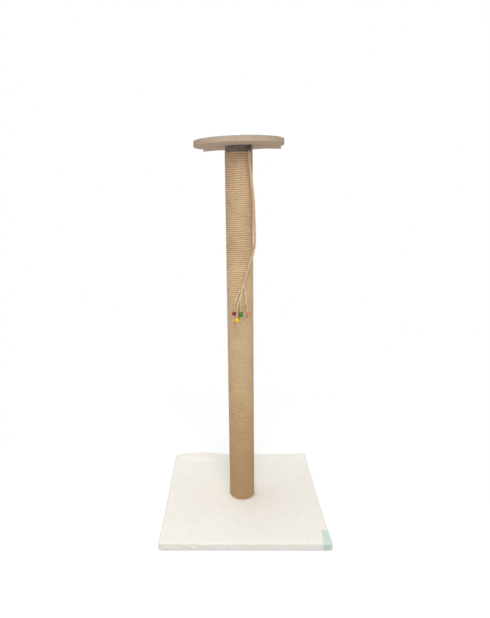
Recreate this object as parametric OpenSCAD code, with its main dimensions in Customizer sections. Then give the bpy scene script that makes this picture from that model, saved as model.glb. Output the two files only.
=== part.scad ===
/* [Base] */
// Side of the square base, over its plush
base_side = 500; // [380:10:700]
// Thickness of the base board
board_t = 18; // [12:1:30]
// Radius of the base board's corners
board_corner_r = 6; // [4:1:40]
// Thickness of the plush with its pile
plush_t = 2.5; // [1.5:0.5:5]
// Radius of the plush along the base's upper edge
plush_edge_r = 6; // [3:0.5:10]
// Radius of the plush along the base's lower edge
plush_hem_r = 2; // [1:0.5:4]
// Width of the plush that is folded under the board
hem_w = 35; // [20:1:80]
// Thickness of the lining under the base
liner_t = 1; // [0.8:0.1:2]
// Distance from the base's side to the lining's edge
liner_inset = 12; // [6:1:18]
// Radius of the access hole in the lining
liner_hole_r = 12; // [11:0.5:16]
// Number of staples along each side of the base
staples_per_side = 5; // [3:1:9]

/* [Label] */
// Width of the cloth label on the base's front edge
label_w = 24; // [15:1:60]
// Length of the label that lies on top of the base
label_top_l = 58; // [20:1:100]
// Distance from the label to the base's right side
label_inset = 3; // [2:1:60]
// Thickness of the label
label_t = 0.6; // [0.4:0.1:1]

/* [Post] */
// Height from the top of the base to the underside of the platform
post_h = 1118; // [800:2:1400]
// Outer diameter of the cardboard tube
tube_d = 70; // [56:1:100]
// Wall of the cardboard tube
tube_wall = 4; // [3:0.5:6]
// Length of the wooden plug in each end of the tube
plug_l = 30; // [20:1:50]
// Number of nails through the tube into each plug
nails_per_plug = 4; // [3:1:6]

/* [Rope] */
// Diameter of the rope
rope_d = 6; // [5:0.5:8]
// Number of turns drawn one by one at each end of the winding
drawn_turns = 12; // [4:1:12]

/* [Top cap] */
// Height of the cap on the tube's top end
cap_h = 17; // [12:1:40]
// Outer diameter of the cap
cap_d = 80; // [78:1:90]
// Thickness of the cap's top plate
cap_plate_t = 3; // [2:0.5:5]

/* [Platform] */
// Diameter of the round part of the platform
platform_d = 260; // [200:5:360]
// Thickness of the platform board
platform_board_t = 14; // [12:1:20]
// Thickness of the felt on the platform board
felt_t = 2; // [1:0.5:3]
// How far the ears' tips stand beyond the round part's centre, backwards
ear_tip_y = 134; // [110:1:190]
// Distance of each ear's tip from the middle line
ear_tip_x = 122; // [90:1:180]
// Radius of the ears' tips
ear_tip_r = 4; // [3.5:0.5:8]
// Direction in which each ear's inner edge runs, above the sideways line
ear_inner_angle = 27; // [10:1:40]
// Direction in which each ear's outer edge runs, above the sideways line
ear_outer_angle = 82; // [70:1:88]
// Turn of the platform on the post, as it was clamped
platform_turn = -6; // [-30:1:30]

/* [Bolts] */
// Diameter of both bolts
bolt_d = 6; // [5:0.5:8]
// Diameter of the bolts' heads
bolt_head_d = 10; // [9:0.5:11]
// Height of the bolts' heads
bolt_head_h = 6; // [5:0.5:7]
// Length of the base's bolt under its head
base_bolt_l = 50; // [48:1:80]
// Length of the platform's bolt under its head
platform_bolt_l = 45; // [44:1:60]
// Outer diameter of the washer in the base
base_washer_d = 18; // [16:1:20]
// Outer diameter of the washer in the platform
platform_washer_d = 12; // [12:0.5:14]
// Thickness of both washers
washer_t = 1.6; // [1:0.1:2.5]

/* [Toy] */
// Sideways distance of the toy's screw eye from the post's axis
toy_x = 29; // [20:1:40]
// Distance of the toy's screw eye in front of the post's axis
toy_y = 47; // [46:0.5:70]
// Radius of the screw eye's wire ring, at the wire's centre
eye_r = 4; // [3.5:0.5:6]
// Diameter of the screw eye's wire
eye_wire_d = 2; // [1.6:0.2:2.4]
// Radius of the hanging ring, at the wire's centre
ring_r = 5; // [4.5:0.5:8]
// Diameter of the hanging ring's wire
ring_wire_d = 1.6; // [1.2:0.2:2]
// Diameter of the toy's cord
cord_d = 8; // [7:0.5:9]
// Diameter of the string loop at the cord's top
loop_d = 2.2; // [1.8:0.1:2.4]
// Radius of the knot where the cord opens into strands
knot_r = 6.5; // [6:0.5:7.5]
// Diameter of each strand
strand_d = 3; // [2.5:0.25:3.25]
// Radius of the knot at each strand's end
end_knot_r = 2.6; // [2.4:0.1:3]
// Radius of the beads' holes
bead_hole_r = 1.9; // [1.8:0.1:2.1]
// Diameter of the red bead
bead_red_d = 13; // [10:1:13]
// Diameter of the green bead
bead_green_d = 15; // [10:1:15]
// Diameter of the yellow bead
bead_yellow_d = 15; // [10:1:15]
// Diameter of the orange bead
bead_orange_d = 11; // [10:1:13]

/* [Hidden] */

// Clearances
fit_gap = 0.05;      // a pin or thread in its hole
seat_gap = 0.3;      // between curved faces that touch
plug_gap = 0.2;      // between a plug and the tube
bolt_hole_gap = 0.3; // between a bolt and the hole it passes through
through = 0.5;       // how far a cut runs past the face it opens
eps = 0.01;

// Heights above the floor
base_t = liner_t + plush_t + board_t + plush_t;
board_z = liner_t + plush_t;
platform_z = base_t + post_h;
tube_top_z = platform_z - cap_plate_t;
cap_z = platform_z - cap_h;
platform_felt_z = platform_z + platform_board_t;

// Base
board_side = base_side - 2 * plush_t;
plush_lower_r = min(plush_hem_r, plush_t);
plush_corner_r = board_corner_r + plush_t;
plush_upper_r = min(plush_edge_r, plush_corner_r);
least_edge_r = 0.5;
label_end_gap = 1;
hem_side = base_side - 2 * hem_w;
liner_side = base_side - 2 * liner_inset;
liner_corner_r = board_corner_r;

// Staples in the base: crown, wire and legs
staple_crown_l = 10;
staple_wire_w = 1.2;
staple_wire_t = 0.6;
staple_leg_l = 9;
staple_sink = 0.2;
staple_row = base_side / 2 - (liner_inset + hem_w) / 2;

// Tube, plugs and nails
tube_r = tube_d / 2;
tube_bore_r = tube_r - tube_wall;
plug_r = tube_bore_r - plug_gap;
nail_r = 0.9;
nail_l = 18;
nail_head_r = 2.3;
nail_head_t = 0.8;
nail_head_room = 0.2;

// Bolts and threaded inserts
bolt_r = bolt_d / 2;
bolt_pass_r = bolt_r + bolt_hole_gap;
hex_key_d = 5;
hex_depth = 3;
tee_flange_r = 9.5;
tee_flange_t = 1.5;
tee_wall = 0.85;
tee_barrel_r = bolt_r + tee_wall;
tee_barrel_l = 9;
tee_prongs = 4;
tee_prong_r = 7.5;
tee_prong_w = 2.4;
tee_prong_t = 1;
tee_prong_l = 7;
counterbore_d = washer_t + bolt_head_h;
socket_room = 1;
base_bore_r = base_washer_d / 2 + socket_room;
platform_bore_r = platform_washer_d / 2 + bolt_hole_gap;
base_head_z = board_z + bolt_head_h;
platform_head_z = platform_felt_z - bolt_head_h;

// Rope: a six-sided tube on a helix, 24 rings to a turn
rope_gap = 0.5;
rope_sides = 6;
rings_per_turn = 24;
rope_tube_r = (rope_d - rope_gap) / 2;
rope_flat_r = rope_tube_r * cos(180 / rope_sides);
rope_chord_dip = 1 - cos(180 / rings_per_turn);
rope_path_r = (tube_r + seat_gap + rope_flat_r) / (1 - rope_chord_dip);
rope_outer_r = tube_r + rope_d;
drawn_h = drawn_turns * rope_d + 2 * rope_tube_r;
rope_low_z = base_t + seat_gap;
rope_high_z = cap_z - seat_gap;
middle_z = rope_low_z + drawn_h + seat_gap;
middle_h = rope_high_z - drawn_h - seat_gap - middle_z;
rope_staple_margin = 0.5;
rope_staple_bite = 2;
rope_staple_l = rope_d - 2 * rope_staple_margin;
rope_staple_leg_l = rope_d + rope_staple_bite;

// Platform
platform_r = platform_d / 2;
felt_trim = 0.5;

// Toy fitting, seen from the front: the eye stands across, the ring hangs fore and aft
toy_back_y = -toy_y;
eye_wire_r = eye_wire_d / 2;
ring_wire_r = ring_wire_d / 2;
loop_r = loop_d / 2;
link_gap = 0.1;
eye_gap = 0.5;
eye_z = platform_z - eye_gap - eye_wire_r - eye_r;
eye_low_z = eye_z - eye_r;
eye_screw_l = 9;
ring_top_z = eye_low_z + eye_wire_r + ring_wire_r + link_gap;
ring_z = ring_top_z - ring_r;
ring_low_z = ring_z - ring_r;
loop_bend_r = ring_wire_r + loop_r + link_gap;
cord_drop = 5.4;

// The cord hangs in front of the post. Its points are given from the screw eye's axis, downwards
// from the cord's top end: sideways, forwards, down.
cord_top_z = ring_low_z - cord_drop;
CORD = [
  [0, 0, 0], [0, 0, 16], [1, 0.5, 34], [3, 0.5, 54], [5, 1, 74], [7.5, 1, 94], [9.5, 1, 114], [11, 1, 134],
  [12, 1, 154], [12.5, 1, 174], [13, 1, 194], [13.5, 1, 214], [14, 1, 232], [13.5, 1, 250], [11.5, 1, 268],
  [7, 1, 286], [1, 1, 304], [-5, 0.5, 322], [-10.5, 0.5, 340], [-15, 0, 357], [-18.5, 0, 368.5]
];
// The knot's middle, from the same place
KNOT = [-22, 0, 380];

// Strands, from the knot's middle: sideways, forwards, down. Each ends in a straight stretch that
// its bead slides on. BEAD gives the bead's middle at rest.
STRAND_RED = [
  [-4.5, 0.7, 5.2], [-9, 1.5, 11.5], [-13.5, 2.2, 19.5], [-17.8, 2.8, 29], [-21.2, 3, 38.5], [-23.8, 3, 48.5]
];
BEAD_RED = [-27, 3, 79.5];
STRAND_GREEN = [
  [-0.6, -0.4, 6.9], [-2.4, 1, 15], [-4.8, 2.2, 25], [-6.5, 3, 35], [-7, 3, 45], [-7, 3, 55]
];
BEAD_GREEN = [-7, 3, 83];
STRAND_YELLOW = [
  [-1.4, 4.3, 5.2], [-4.3, 6.8, 13.5], [-7.8, 8.6, 24], [-11, 9.7, 35], [-14, 10, 46], [-16.8, 10, 57],
  [-18.5, 10, 66]
];
BEAD_YELLOW = [-18.5, 10, 99];
STRAND_ORANGE = [
  [4.1, 0, 5.6], [6.4, 0.8, 13.5], [7.6, 2, 24], [8.4, 3, 35], [9.3, 3, 46], [10.5, 3, 57]
];
BEAD_ORANGE = [16, 3, 79.5];
// The strand's loose end, from the end knot's middle
TAIL_RED = [[-2.6, 0, 8], [-5, 0.3, 16], [-4.8, 0.5, 27]];
TAIL_GREEN = [[0.4, 0, 5], [2, 0, 10]];
TAIL_YELLOW = [[0.6, 0, 5.5], [3, 0, 11]];
TAIL_ORANGE = [[-0.6, 0.3, 6.5], [-3.8, 0.6, 12], [-6.6, 0.5, 18.5]];
strand_step = 11;
cord_sides = 10;
strand_sides = 8;
knot_wrap_t = 1;

function unit(v) = v / norm(v);
// A place given from the cord's top end, or from the knot, in the part's own frame
function hung(p) = [toy_x + p[0], toy_back_y - p[1], cord_top_z - p[2]];
function below_knot(p) = hung(KNOT + p);
// Distance from a bead's middle to the middle of the knot it rests on
function knot_drop(bead_d) =
  sqrt(pow(bead_d / 2, 2) - pow(bead_hole_r, 2)) + sqrt(pow(end_knot_r, 2) - pow(bead_hole_r, 2)) + seat_gap;
function arc(c, r, a0, a1, n) = [for (i = [0:n]) c + r * [cos(a0 + (a1 - a0) * i / n), sin(a0 + (a1 - a0) * i / n)]];

// Direction of a path at its point i
function heading(path, i) =
  unit(path[min(i + 1, len(path) - 1)] - path[max(i - 1, 0)]);
// Ring of a tube at point i, turned about the path by a fixed sideways direction
function tube_ring(path, i, r, sides, aside) =
  let (t = heading(path, i))
  let (u = unit(cross(t, aside)))
  let (v = cross(u, t))
  [for (k = [0:sides - 1]) path[i] + r * (cos(360 * k / sides) * u + sin(360 * k / sides) * v)];
// Triangles between neighbouring rings, and the two ends
function tube_faces(rings, sides) = concat(
  [for (i = [0:rings - 2]) for (k = [0:sides - 1])
    [i * sides + k, i * sides + (k + 1) % sides, (i + 1) * sides + k]],
  [for (i = [0:rings - 2]) for (k = [0:sides - 1])
    [i * sides + (k + 1) % sides, (i + 1) * sides + (k + 1) % sides, (i + 1) * sides + k]],
  [for (k = [1:sides - 2]) [0, k + 1, k]],
  [for (k = [1:sides - 2]) (rings - 1) * sides * [1, 1, 1] + [0, k, k + 1]]
);

module tube(path, d, sides, aside) {
  points = [for (i = [0:len(path) - 1]) each tube_ring(path, i, d / 2, sides, aside)];
  polyhedron(points, tube_faces(len(path), sides));
}

// Rope path: turns of a helix, with a straight end one rope diameter long at both ends
function helix_at(i, z) =
  let (a = 360 * i / rings_per_turn)
  [rope_path_r * cos(a), rope_path_r * sin(a), z + rope_d * i / rings_per_turn];
function helix_way(i) =
  let (a = 360 * i / rings_per_turn)
  unit([-rope_path_r * sin(a), rope_path_r * cos(a), rope_d / 360 * 180 / PI]);
function rope_rings() = drawn_turns * rings_per_turn;
function rope_path(z) = concat(
  [helix_at(0, z) - rope_d * helix_way(0)],
  [for (i = [0:rope_rings()]) helix_at(i, z)],
  [helix_at(rope_rings(), z) + rope_d * helix_way(rope_rings())]
);
// Ring of the rope: flats face the tube and outwards, so that edges stand up and down
function rope_ring(path, i) =
  let (n = len(path) - 1)
  let (a = 360 * (min(max(i, 1), n - 1) - 1) / rings_per_turn)
  let (t = i <= 1 ? helix_way(0) : i >= n - 1 ? helix_way(rope_rings()) : helix_way(i - 1))
  let (out = [cos(a), sin(a), 0])
  let (up = cross(out, t))
  [for (k = [0:rope_sides - 1])
    let (b = 360 * (k + 0.5) / rope_sides)
    path[i] + rope_tube_r * (cos(b) * out + sin(b) * up)];
function rope_points(z) =
  let (path = rope_path(z))
  [for (i = [0:len(path) - 1]) rope_ring(path, i)];
// Least distance between a ring's points and those of the rings one turn on
function turn_gap(rings) = min([
  for (i = [0:len(rings) - rings_per_turn]) for (j = [-2:2])
    let (o = i + rings_per_turn + j)
    if (o < len(rings)) min([for (p = rings[i]) for (q = rings[o]) norm(p - q)])
]);
echo(rope_least_gap_mm = turn_gap(rope_points(0)));

module rope_turns(z) {
  rings = rope_points(z);
  polyhedron([for (r = rings) each r], tube_faces(len(rings), rope_sides));
}

// Square slab with round corners and soft edges, centred, between two heights
module soft_slab(side, corner_r, z0, z1, upper_r, lower_r) {
  at = side / 2 - corner_r;
  outline = concat(
    [[0, z0]],
    arc([corner_r - lower_r, z0 + lower_r], lower_r, -90, 0, 3),
    arc([corner_r - upper_r, z1 - upper_r], upper_r, 0, 90, 5),
    [[0, z1]]
  );
  hull()
    for (x = [-at, at], y = [-at, at])
      translate([x, y, 0])
        rotate_extrude($fn = 32)
          polygon(outline);
}

module square_plate(side, corner_r, t) {
  linear_extrude(t)
    union() {
      square([side, side - 2 * corner_r], center = true);
      square([side - 2 * corner_r, side], center = true);
      for (x = [-1, 1], y = [-1, 1])
        translate([x, y] * (side / 2 - corner_r))
          circle(r = corner_r, $fn = 64);
    }
}

module plush_body(inset) {
  soft_slab(base_side - 2 * inset, plush_corner_r - inset, liner_t + inset, base_t - inset,
    plush_upper_r - inset, max(plush_lower_r - inset, least_edge_r));
}

// Space of the label: from the top of the base over its front edge
module label_space(t) {
  x0 = base_side / 2 - label_inset - label_w;
  intersection() {
    difference() {
      plush_body(0);
      plush_body(t);
    }
    translate([x0, -base_side / 2 - through, liner_t + plush_lower_r + label_end_gap])
      cube([label_w, label_top_l + through, base_t]);
  }
}

module base_board() {
  color("burlywood")
    difference() {
      translate([0, 0, board_z]) square_plate(board_side, board_corner_r, board_t);
      translate([0, 0, board_z - through]) cylinder(r = bolt_pass_r, h = board_t + 2 * through, $fn = 48);
      translate([0, 0, board_z - through]) cylinder(r = base_bore_r, h = counterbore_d + through, $fn = 64);
    }
}

module base_cover() {
  color("ivory")
    difference() {
      plush_body(0);
      translate([0, 0, board_z]) square_plate(board_side, board_corner_r, board_t);
      translate([-hem_side / 2, -hem_side / 2, liner_t - through]) cube([hem_side, hem_side, plush_t + 2 * through]);
      translate([0, 0, board_z]) cylinder(r = bolt_pass_r, h = board_t + 2 * plush_t, $fn = 48);
      label_space(label_t + fit_gap);
    }
}

module side_label() {
  color("lightblue")
    label_space(label_t);
}

// Places of the base's staples along its four sides
module at_base_staples() {
  pitch = 2 * staple_row / staples_per_side;
  for (turn = [0:90:270])
    rotate(turn)
      for (i = [0:staples_per_side - 1])
        translate([-staple_row + pitch * (i + 0.5), -staple_row, 0])
          children();
}

module base_liner() {
  color("dimgray")
    difference() {
      square_plate(liner_side, liner_corner_r, liner_t);
      translate([0, 0, -through]) cylinder(r = liner_hole_r, h = liner_t + 2 * through, $fn = 64);
      at_base_staples()
        translate([-staple_crown_l / 2 - fit_gap, -staple_wire_w / 2 - fit_gap, -through])
          cube([staple_crown_l + 2 * fit_gap, staple_wire_w + 2 * fit_gap, through + staple_sink + staple_wire_t]);
    }
}

module base_staples() {
  color("silver")
    at_base_staples()
      translate([0, 0, staple_sink]) {
        translate([-staple_crown_l / 2, -staple_wire_w / 2, 0])
          cube([staple_crown_l, staple_wire_w, staple_wire_t]);
        for (x = [-staple_crown_l / 2, staple_crown_l / 2 - staple_wire_t])
          translate([x, -staple_wire_w / 2, 0])
            cube([staple_wire_t, staple_wire_w, staple_leg_l]);
      }
}

// Cap screw with its head below z = 0 and its shank upwards
module cap_screw(length) {
  difference() {
    translate([0, 0, -bolt_head_h]) cylinder(d = bolt_head_d, h = bolt_head_h, $fn = 48);
    translate([0, 0, -bolt_head_h - through]) cylinder(d = hex_key_d / cos(180 / 6), h = hex_depth + through, $fn = 6);
  }
  translate([0, 0, -eps]) cylinder(r = bolt_r, h = length + eps, $fn = 48);
}

module washer(d) {
  difference() {
    cylinder(d = d, h = washer_t, $fn = 64);
    translate([0, 0, -through]) cylinder(r = bolt_pass_r, h = washer_t + 2 * through, $fn = 48);
  }
}

module base_bolt() {
  color("gray")
    translate([0, 0, base_head_z]) cap_screw(base_bolt_l);
}

module base_washer() {
  color("gainsboro")
    translate([0, 0, base_head_z]) washer(base_washer_d);
}

// Prongs of a threaded insert, which stand along its barrel, towards -Z
module tee_prongs(gap) {
  for (i = [0:tee_prongs - 1])
    rotate(360 * i / tee_prongs)
      translate([tee_prong_r - tee_prong_t / 2 - gap, -tee_prong_w / 2 - gap, -tee_prong_l - gap])
        cube([tee_prong_t + 2 * gap, tee_prong_w + 2 * gap, tee_prong_l + gap + eps]);
}

// Threaded insert with its flange on z = 0 and its barrel downwards
module tee_nut() {
  difference() {
    union() {
      cylinder(r = tee_flange_r, h = tee_flange_t, $fn = 64);
      translate([0, 0, -tee_barrel_l]) cylinder(r = tee_barrel_r, h = tee_barrel_l + eps, $fn = 48);
      tee_prongs(0);
    }
    translate([0, 0, -tee_barrel_l - through])
      cylinder(r = bolt_r + fit_gap, h = tee_barrel_l + tee_flange_t + 2 * through, $fn = 48);
  }
}

// Nails, pointing inwards around the tube at one height
module nails(gap) {
  for (i = [0:nails_per_plug - 1])
    rotate([0, 0, 360 * (i + 0.5) / nails_per_plug])
      translate([tube_r, 0, 0])
        rotate([0, -90, 0]) {
          translate([0, 0, -gap]) cylinder(r = nail_r + gap, h = nail_l + 2 * gap, $fn = 24);
          translate([0, 0, nail_head_room - gap])
            cylinder(r = nail_head_r + gap, h = nail_head_t + 2 * gap, $fn = 32);
        }
}

// Wider cut from outside the tube down to the nails' heads
module nail_cuts() {
  nails(fit_gap);
  for (i = [0:nails_per_plug - 1])
    rotate([0, 0, 360 * (i + 0.5) / nails_per_plug])
      translate([tube_r + through, 0, 0])
        rotate([0, -90, 0])
          cylinder(r = nail_head_r + fit_gap, h = through + nail_head_room + nail_head_t, $fn = 32);
}

// Wooden plug between z = 0 and plug_l, with the insert's flange on its upper face
module plug() {
  difference() {
    cylinder(r = plug_r, h = plug_l, $fn = 96);
    translate([0, 0, -through]) cylinder(r = bolt_pass_r, h = plug_l + 2 * through, $fn = 48);
    translate([0, 0, plug_l - tee_barrel_l - fit_gap])
      cylinder(r = tee_barrel_r + fit_gap, h = tee_barrel_l + through, $fn = 48);
    translate([0, 0, plug_l]) tee_prongs(fit_gap);
    translate([0, 0, plug_l / 2]) nails(fit_gap);
  }
}

module bottom_plug() {
  color("tan")
    translate([0, 0, base_t]) plug();
}

module bottom_tee_nut() {
  color("silver")
    translate([0, 0, base_t + plug_l]) tee_nut();
}

module bottom_plug_nails() {
  color("darkgray")
    translate([0, 0, base_t + plug_l / 2]) nail_set();
}

module nail_set() {
  difference() {
    nails(0);
    difference() {
      translate([0, 0, -tube_r]) cylinder(r = tube_r + through, h = 2 * tube_r, $fn = 96);
      translate([0, 0, -tube_r - eps]) cylinder(r = tube_r - nail_head_room, h = 2 * tube_r + 2 * eps, $fn = 96);
    }
  }
}

module post_tube() {
  color("peru")
    difference() {
      translate([0, 0, base_t]) cylinder(r = tube_r, h = tube_top_z - base_t, $fn = 96);
      translate([0, 0, base_t - through])
        cylinder(r = tube_bore_r, h = tube_top_z - base_t + 2 * through, $fn = 96);
      translate([0, 0, base_t + plug_l / 2]) nail_cuts();
      translate([0, 0, tube_top_z - plug_l / 2]) nail_cuts();
    }
}

module rope_top_turns() {
  color("burlywood")
    rope_turns(rope_high_z - drawn_h + rope_tube_r);
}

module rope_bottom_turns() {
  color("burlywood")
    rope_turns(rope_low_z + rope_tube_r);
}

module rope_middle() {
  color("burlywood")
    translate([0, 0, middle_z])
      difference() {
        cylinder(r = rope_outer_r, h = middle_h, $fn = 96);
        translate([0, 0, -through])
          cylinder(r = tube_r + seat_gap, h = middle_h + 2 * through, $fn = 96);
      }
}

// One staple along the rope's straight end, with its legs through the rope and into the tube
module rope_staple(z, way) {
  translate([rope_path_r + rope_flat_r, way * rope_d / 2, z]) {
    translate([0, -rope_staple_l / 2, -staple_wire_w / 2])
      cube([staple_wire_t, rope_staple_l, staple_wire_w]);
    for (y = [-rope_staple_l / 2, rope_staple_l / 2 - staple_wire_t])
      translate([staple_wire_t - rope_staple_leg_l, y, -staple_wire_w / 2])
        cube([rope_staple_leg_l, staple_wire_t, staple_wire_w]);
  }
}

module rope_end_staples() {
  color("silver") {
    rope_staple(rope_low_z + rope_tube_r, -1);
    rope_staple(rope_high_z - rope_tube_r, 1);
  }
}

module top_cap() {
  color("dimgray")
    difference() {
      translate([0, 0, cap_z]) cylinder(d = cap_d, h = cap_h, $fn = 96);
      translate([0, 0, cap_z - through])
        cylinder(r = tube_r + plug_gap, h = cap_h - cap_plate_t + through, $fn = 96);
      translate([0, 0, cap_z]) cylinder(r = bolt_pass_r, h = cap_h + through, $fn = 48);
    }
}

module top_plug() {
  color("tan")
    translate([0, 0, tube_top_z]) mirror([0, 0, 1]) plug();
}

module top_tee_nut() {
  color("silver")
    translate([0, 0, tube_top_z - plug_l]) mirror([0, 0, 1]) tee_nut();
}

module top_plug_nails() {
  color("darkgray")
    translate([0, 0, tube_top_z - plug_l / 2]) nail_set();
}

// Outline of the platform, drawn in by inset: a circle and two ears with round tips
module ear_outline(inset) {
  c = [ear_tip_x - ear_tip_r, ear_tip_y - ear_tip_r];
  r = ear_tip_r - inset;
  inner = [cos(ear_inner_angle), sin(ear_inner_angle)];
  outer = [cos(ear_outer_angle), sin(ear_outer_angle)];
  inner_tip = c + r * [-inner[1], inner[0]];
  outer_tip = c + r * [outer[1], -outer[0]];
  // Each edge runs on to its nearest point to the platform's middle
  inner_foot = inner_tip - (inner_tip * inner) * inner;
  outer_foot = outer_tip - (outer_tip * outer) * outer;
  translate(c) circle(r = r, $fn = 32);
  polygon([inner_tip, inner_foot, [0, 0], outer_foot, outer_tip]);
}

module platform_outline(inset) {
  circle(r = platform_r - inset, $fn = 128);
  ear_outline(inset);
  mirror([1, 0]) ear_outline(inset);
}

module platform_plate(inset, z, t) {
  rotate(platform_turn)
    translate([0, 0, z])
      linear_extrude(t) platform_outline(inset);
}

module eye_hole() {
  translate([toy_x, toy_back_y, platform_z - through])
    cylinder(r = eye_wire_r + fit_gap, h = eye_screw_l + through + fit_gap, $fn = 24);
}

module platform_board() {
  color("burlywood")
    difference() {
      platform_plate(0, platform_z, platform_board_t);
      translate([0, 0, platform_z - through])
        cylinder(r = bolt_pass_r, h = platform_board_t + 2 * through, $fn = 48);
      translate([0, 0, platform_felt_z - counterbore_d])
        cylinder(r = platform_bore_r, h = counterbore_d + through, $fn = 64);
      eye_hole();
    }
}

module platform_felt() {
  color("lightgray")
    difference() {
      platform_plate(felt_trim, platform_felt_z, felt_t);
      translate([0, 0, platform_felt_z - through])
        cylinder(r = platform_bore_r, h = felt_t + 2 * through, $fn = 64);
    }
}

module platform_washer() {
  color("gainsboro")
    translate([0, 0, platform_head_z - washer_t]) washer(platform_washer_d);
}

module platform_bolt() {
  color("gray")
    translate([0, 0, platform_head_z]) mirror([0, 0, 1]) cap_screw(platform_bolt_l);
}

module wire_ring(r, wire_r) {
  rotate_extrude($fn = 64)
    translate([r, 0]) circle(r = wire_r, $fn = 24);
}

module screw_eye() {
  color("dimgray")
    translate([toy_x, toy_back_y, 0]) {
      translate([0, 0, eye_z]) rotate([90, 0, 0]) wire_ring(eye_r, eye_wire_r);
      translate([0, 0, eye_z + eye_r])
        cylinder(r = eye_wire_r, h = platform_z + eye_screw_l - eye_z - eye_r, $fn = 24);
    }
}

module hanging_ring() {
  color("gray")
    translate([toy_x, toy_back_y, ring_z]) rotate([0, 90, 0]) wire_ring(ring_r, ring_wire_r);
}

module cord_loop() {
  color("wheat")
    translate([toy_x, toy_back_y, ring_low_z])
      rotate([90, 0, 0]) {
        rotate_extrude(angle = 180, $fn = 48)
          translate([loop_bend_r, 0]) circle(r = loop_r, $fn = 24);
        for (x = [-loop_bend_r, loop_bend_r])
          translate([x, eps, 0])
            rotate([90, 0, 0]) cylinder(r = loop_r, h = cord_drop + eps, $fn = 24);
      }
}

module toy_cord() {
  color("wheat")
    tube([for (p = CORD) hung(p)], cord_d, cord_sides, [0, 1, 0]);
}

module cord_knot() {
  cord_end = CORD[len(CORD) - 1];
  middle = hung(KNOT);
  way = unit(middle - hung(cord_end));
  length = norm(KNOT - cord_end);
  color("tan") {
    translate(middle) sphere(r = knot_r, $fn = 48);
    translate(middle - length * way)
      rotate([0, acos(way[2]), atan2(way[1], way[0])])
        cylinder(r = cord_d / 2 + knot_wrap_t, h = length, $fn = 32);
  }
}

// Direction of the straight stretch that a bead slides on
function bead_way(points, bead) = unit(bead - points[len(points) - 1]);
// Middle of the knot at a strand's end, under its bead
function end_knot(points, bead, bead_d) = bead + knot_drop(bead_d) * bead_way(points, bead);
// A strand's whole path: its own points, then straight through its bead to its end knot, then its loose end
function strand_path(points, bead, bead_d, tail) =
  let (last = points[len(points) - 1])
  let (knot = end_knot(points, bead, bead_d))
  let (steps = ceil(norm(knot - last) / strand_step))
  [for (p = concat(
    points,
    [for (i = [1:steps]) last + (knot - last) * i / steps],
    [for (loose = tail) knot + loose]
  )) below_knot(p)];

module strand(points, bead, bead_d, tail) {
  color("wheat") {
    tube(strand_path(points, bead, bead_d, tail), strand_d, strand_sides, [0, 1, 0]);
    translate(below_knot(end_knot(points, bead, bead_d))) sphere(r = end_knot_r, $fn = 32);
  }
}

module bead(points, place, d) {
  way = bead_way(points, place);
  u = [way[0], -way[1], -way[2]];
  translate(below_knot(place))
    rotate([0, acos(u[2]), atan2(u[1], u[0])])
      difference() {
        sphere(d = d, $fn = 48);
        translate([0, 0, -d]) cylinder(r = bead_hole_r, h = 2 * d, $fn = 32);
      }
}

module strand_red() {
  strand(STRAND_RED, BEAD_RED, bead_red_d, TAIL_RED);
}

module strand_green() {
  strand(STRAND_GREEN, BEAD_GREEN, bead_green_d, TAIL_GREEN);
}

module strand_yellow() {
  strand(STRAND_YELLOW, BEAD_YELLOW, bead_yellow_d, TAIL_YELLOW);
}

module strand_orange() {
  strand(STRAND_ORANGE, BEAD_ORANGE, bead_orange_d, TAIL_ORANGE);
}

module bead_red() {
  color("crimson") bead(STRAND_RED, BEAD_RED, bead_red_d);
}

module bead_green() {
  color("green") bead(STRAND_GREEN, BEAD_GREEN, bead_green_d);
}

module bead_yellow() {
  color("gold") bead(STRAND_YELLOW, BEAD_YELLOW, bead_yellow_d);
}

module bead_orange() {
  color("darkorange") bead(STRAND_ORANGE, BEAD_ORANGE, bead_orange_d);
}

base_board();
base_cover();
base_liner();
base_staples();
side_label();
base_bolt();
base_washer();
bottom_plug();
bottom_tee_nut();
bottom_plug_nails();
post_tube();
rope_top_turns();
rope_middle();
rope_bottom_turns();
rope_end_staples();
top_cap();
top_plug();
top_tee_nut();
top_plug_nails();
platform_board();
platform_felt();
platform_washer();
platform_bolt();
screw_eye();
hanging_ring();
cord_loop();
toy_cord();
cord_knot();
strand_red();
strand_green();
strand_yellow();
strand_orange();
bead_red();
bead_green();
bead_yellow();
bead_orange();
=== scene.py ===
"""A cat scratching post as it is put together: toy, base, rope-wound post, cap and eared platform.

Lengths are in metres, the post stands on the origin and the front is towards -Y. The parts inside, the bolts
and staples, the screw eye and its ring keep their CAD shape and get a finish. All else is made here.
"""

import math

import bpy
import numpy as np
from mathutils import Euler, Matrix, Vector


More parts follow.
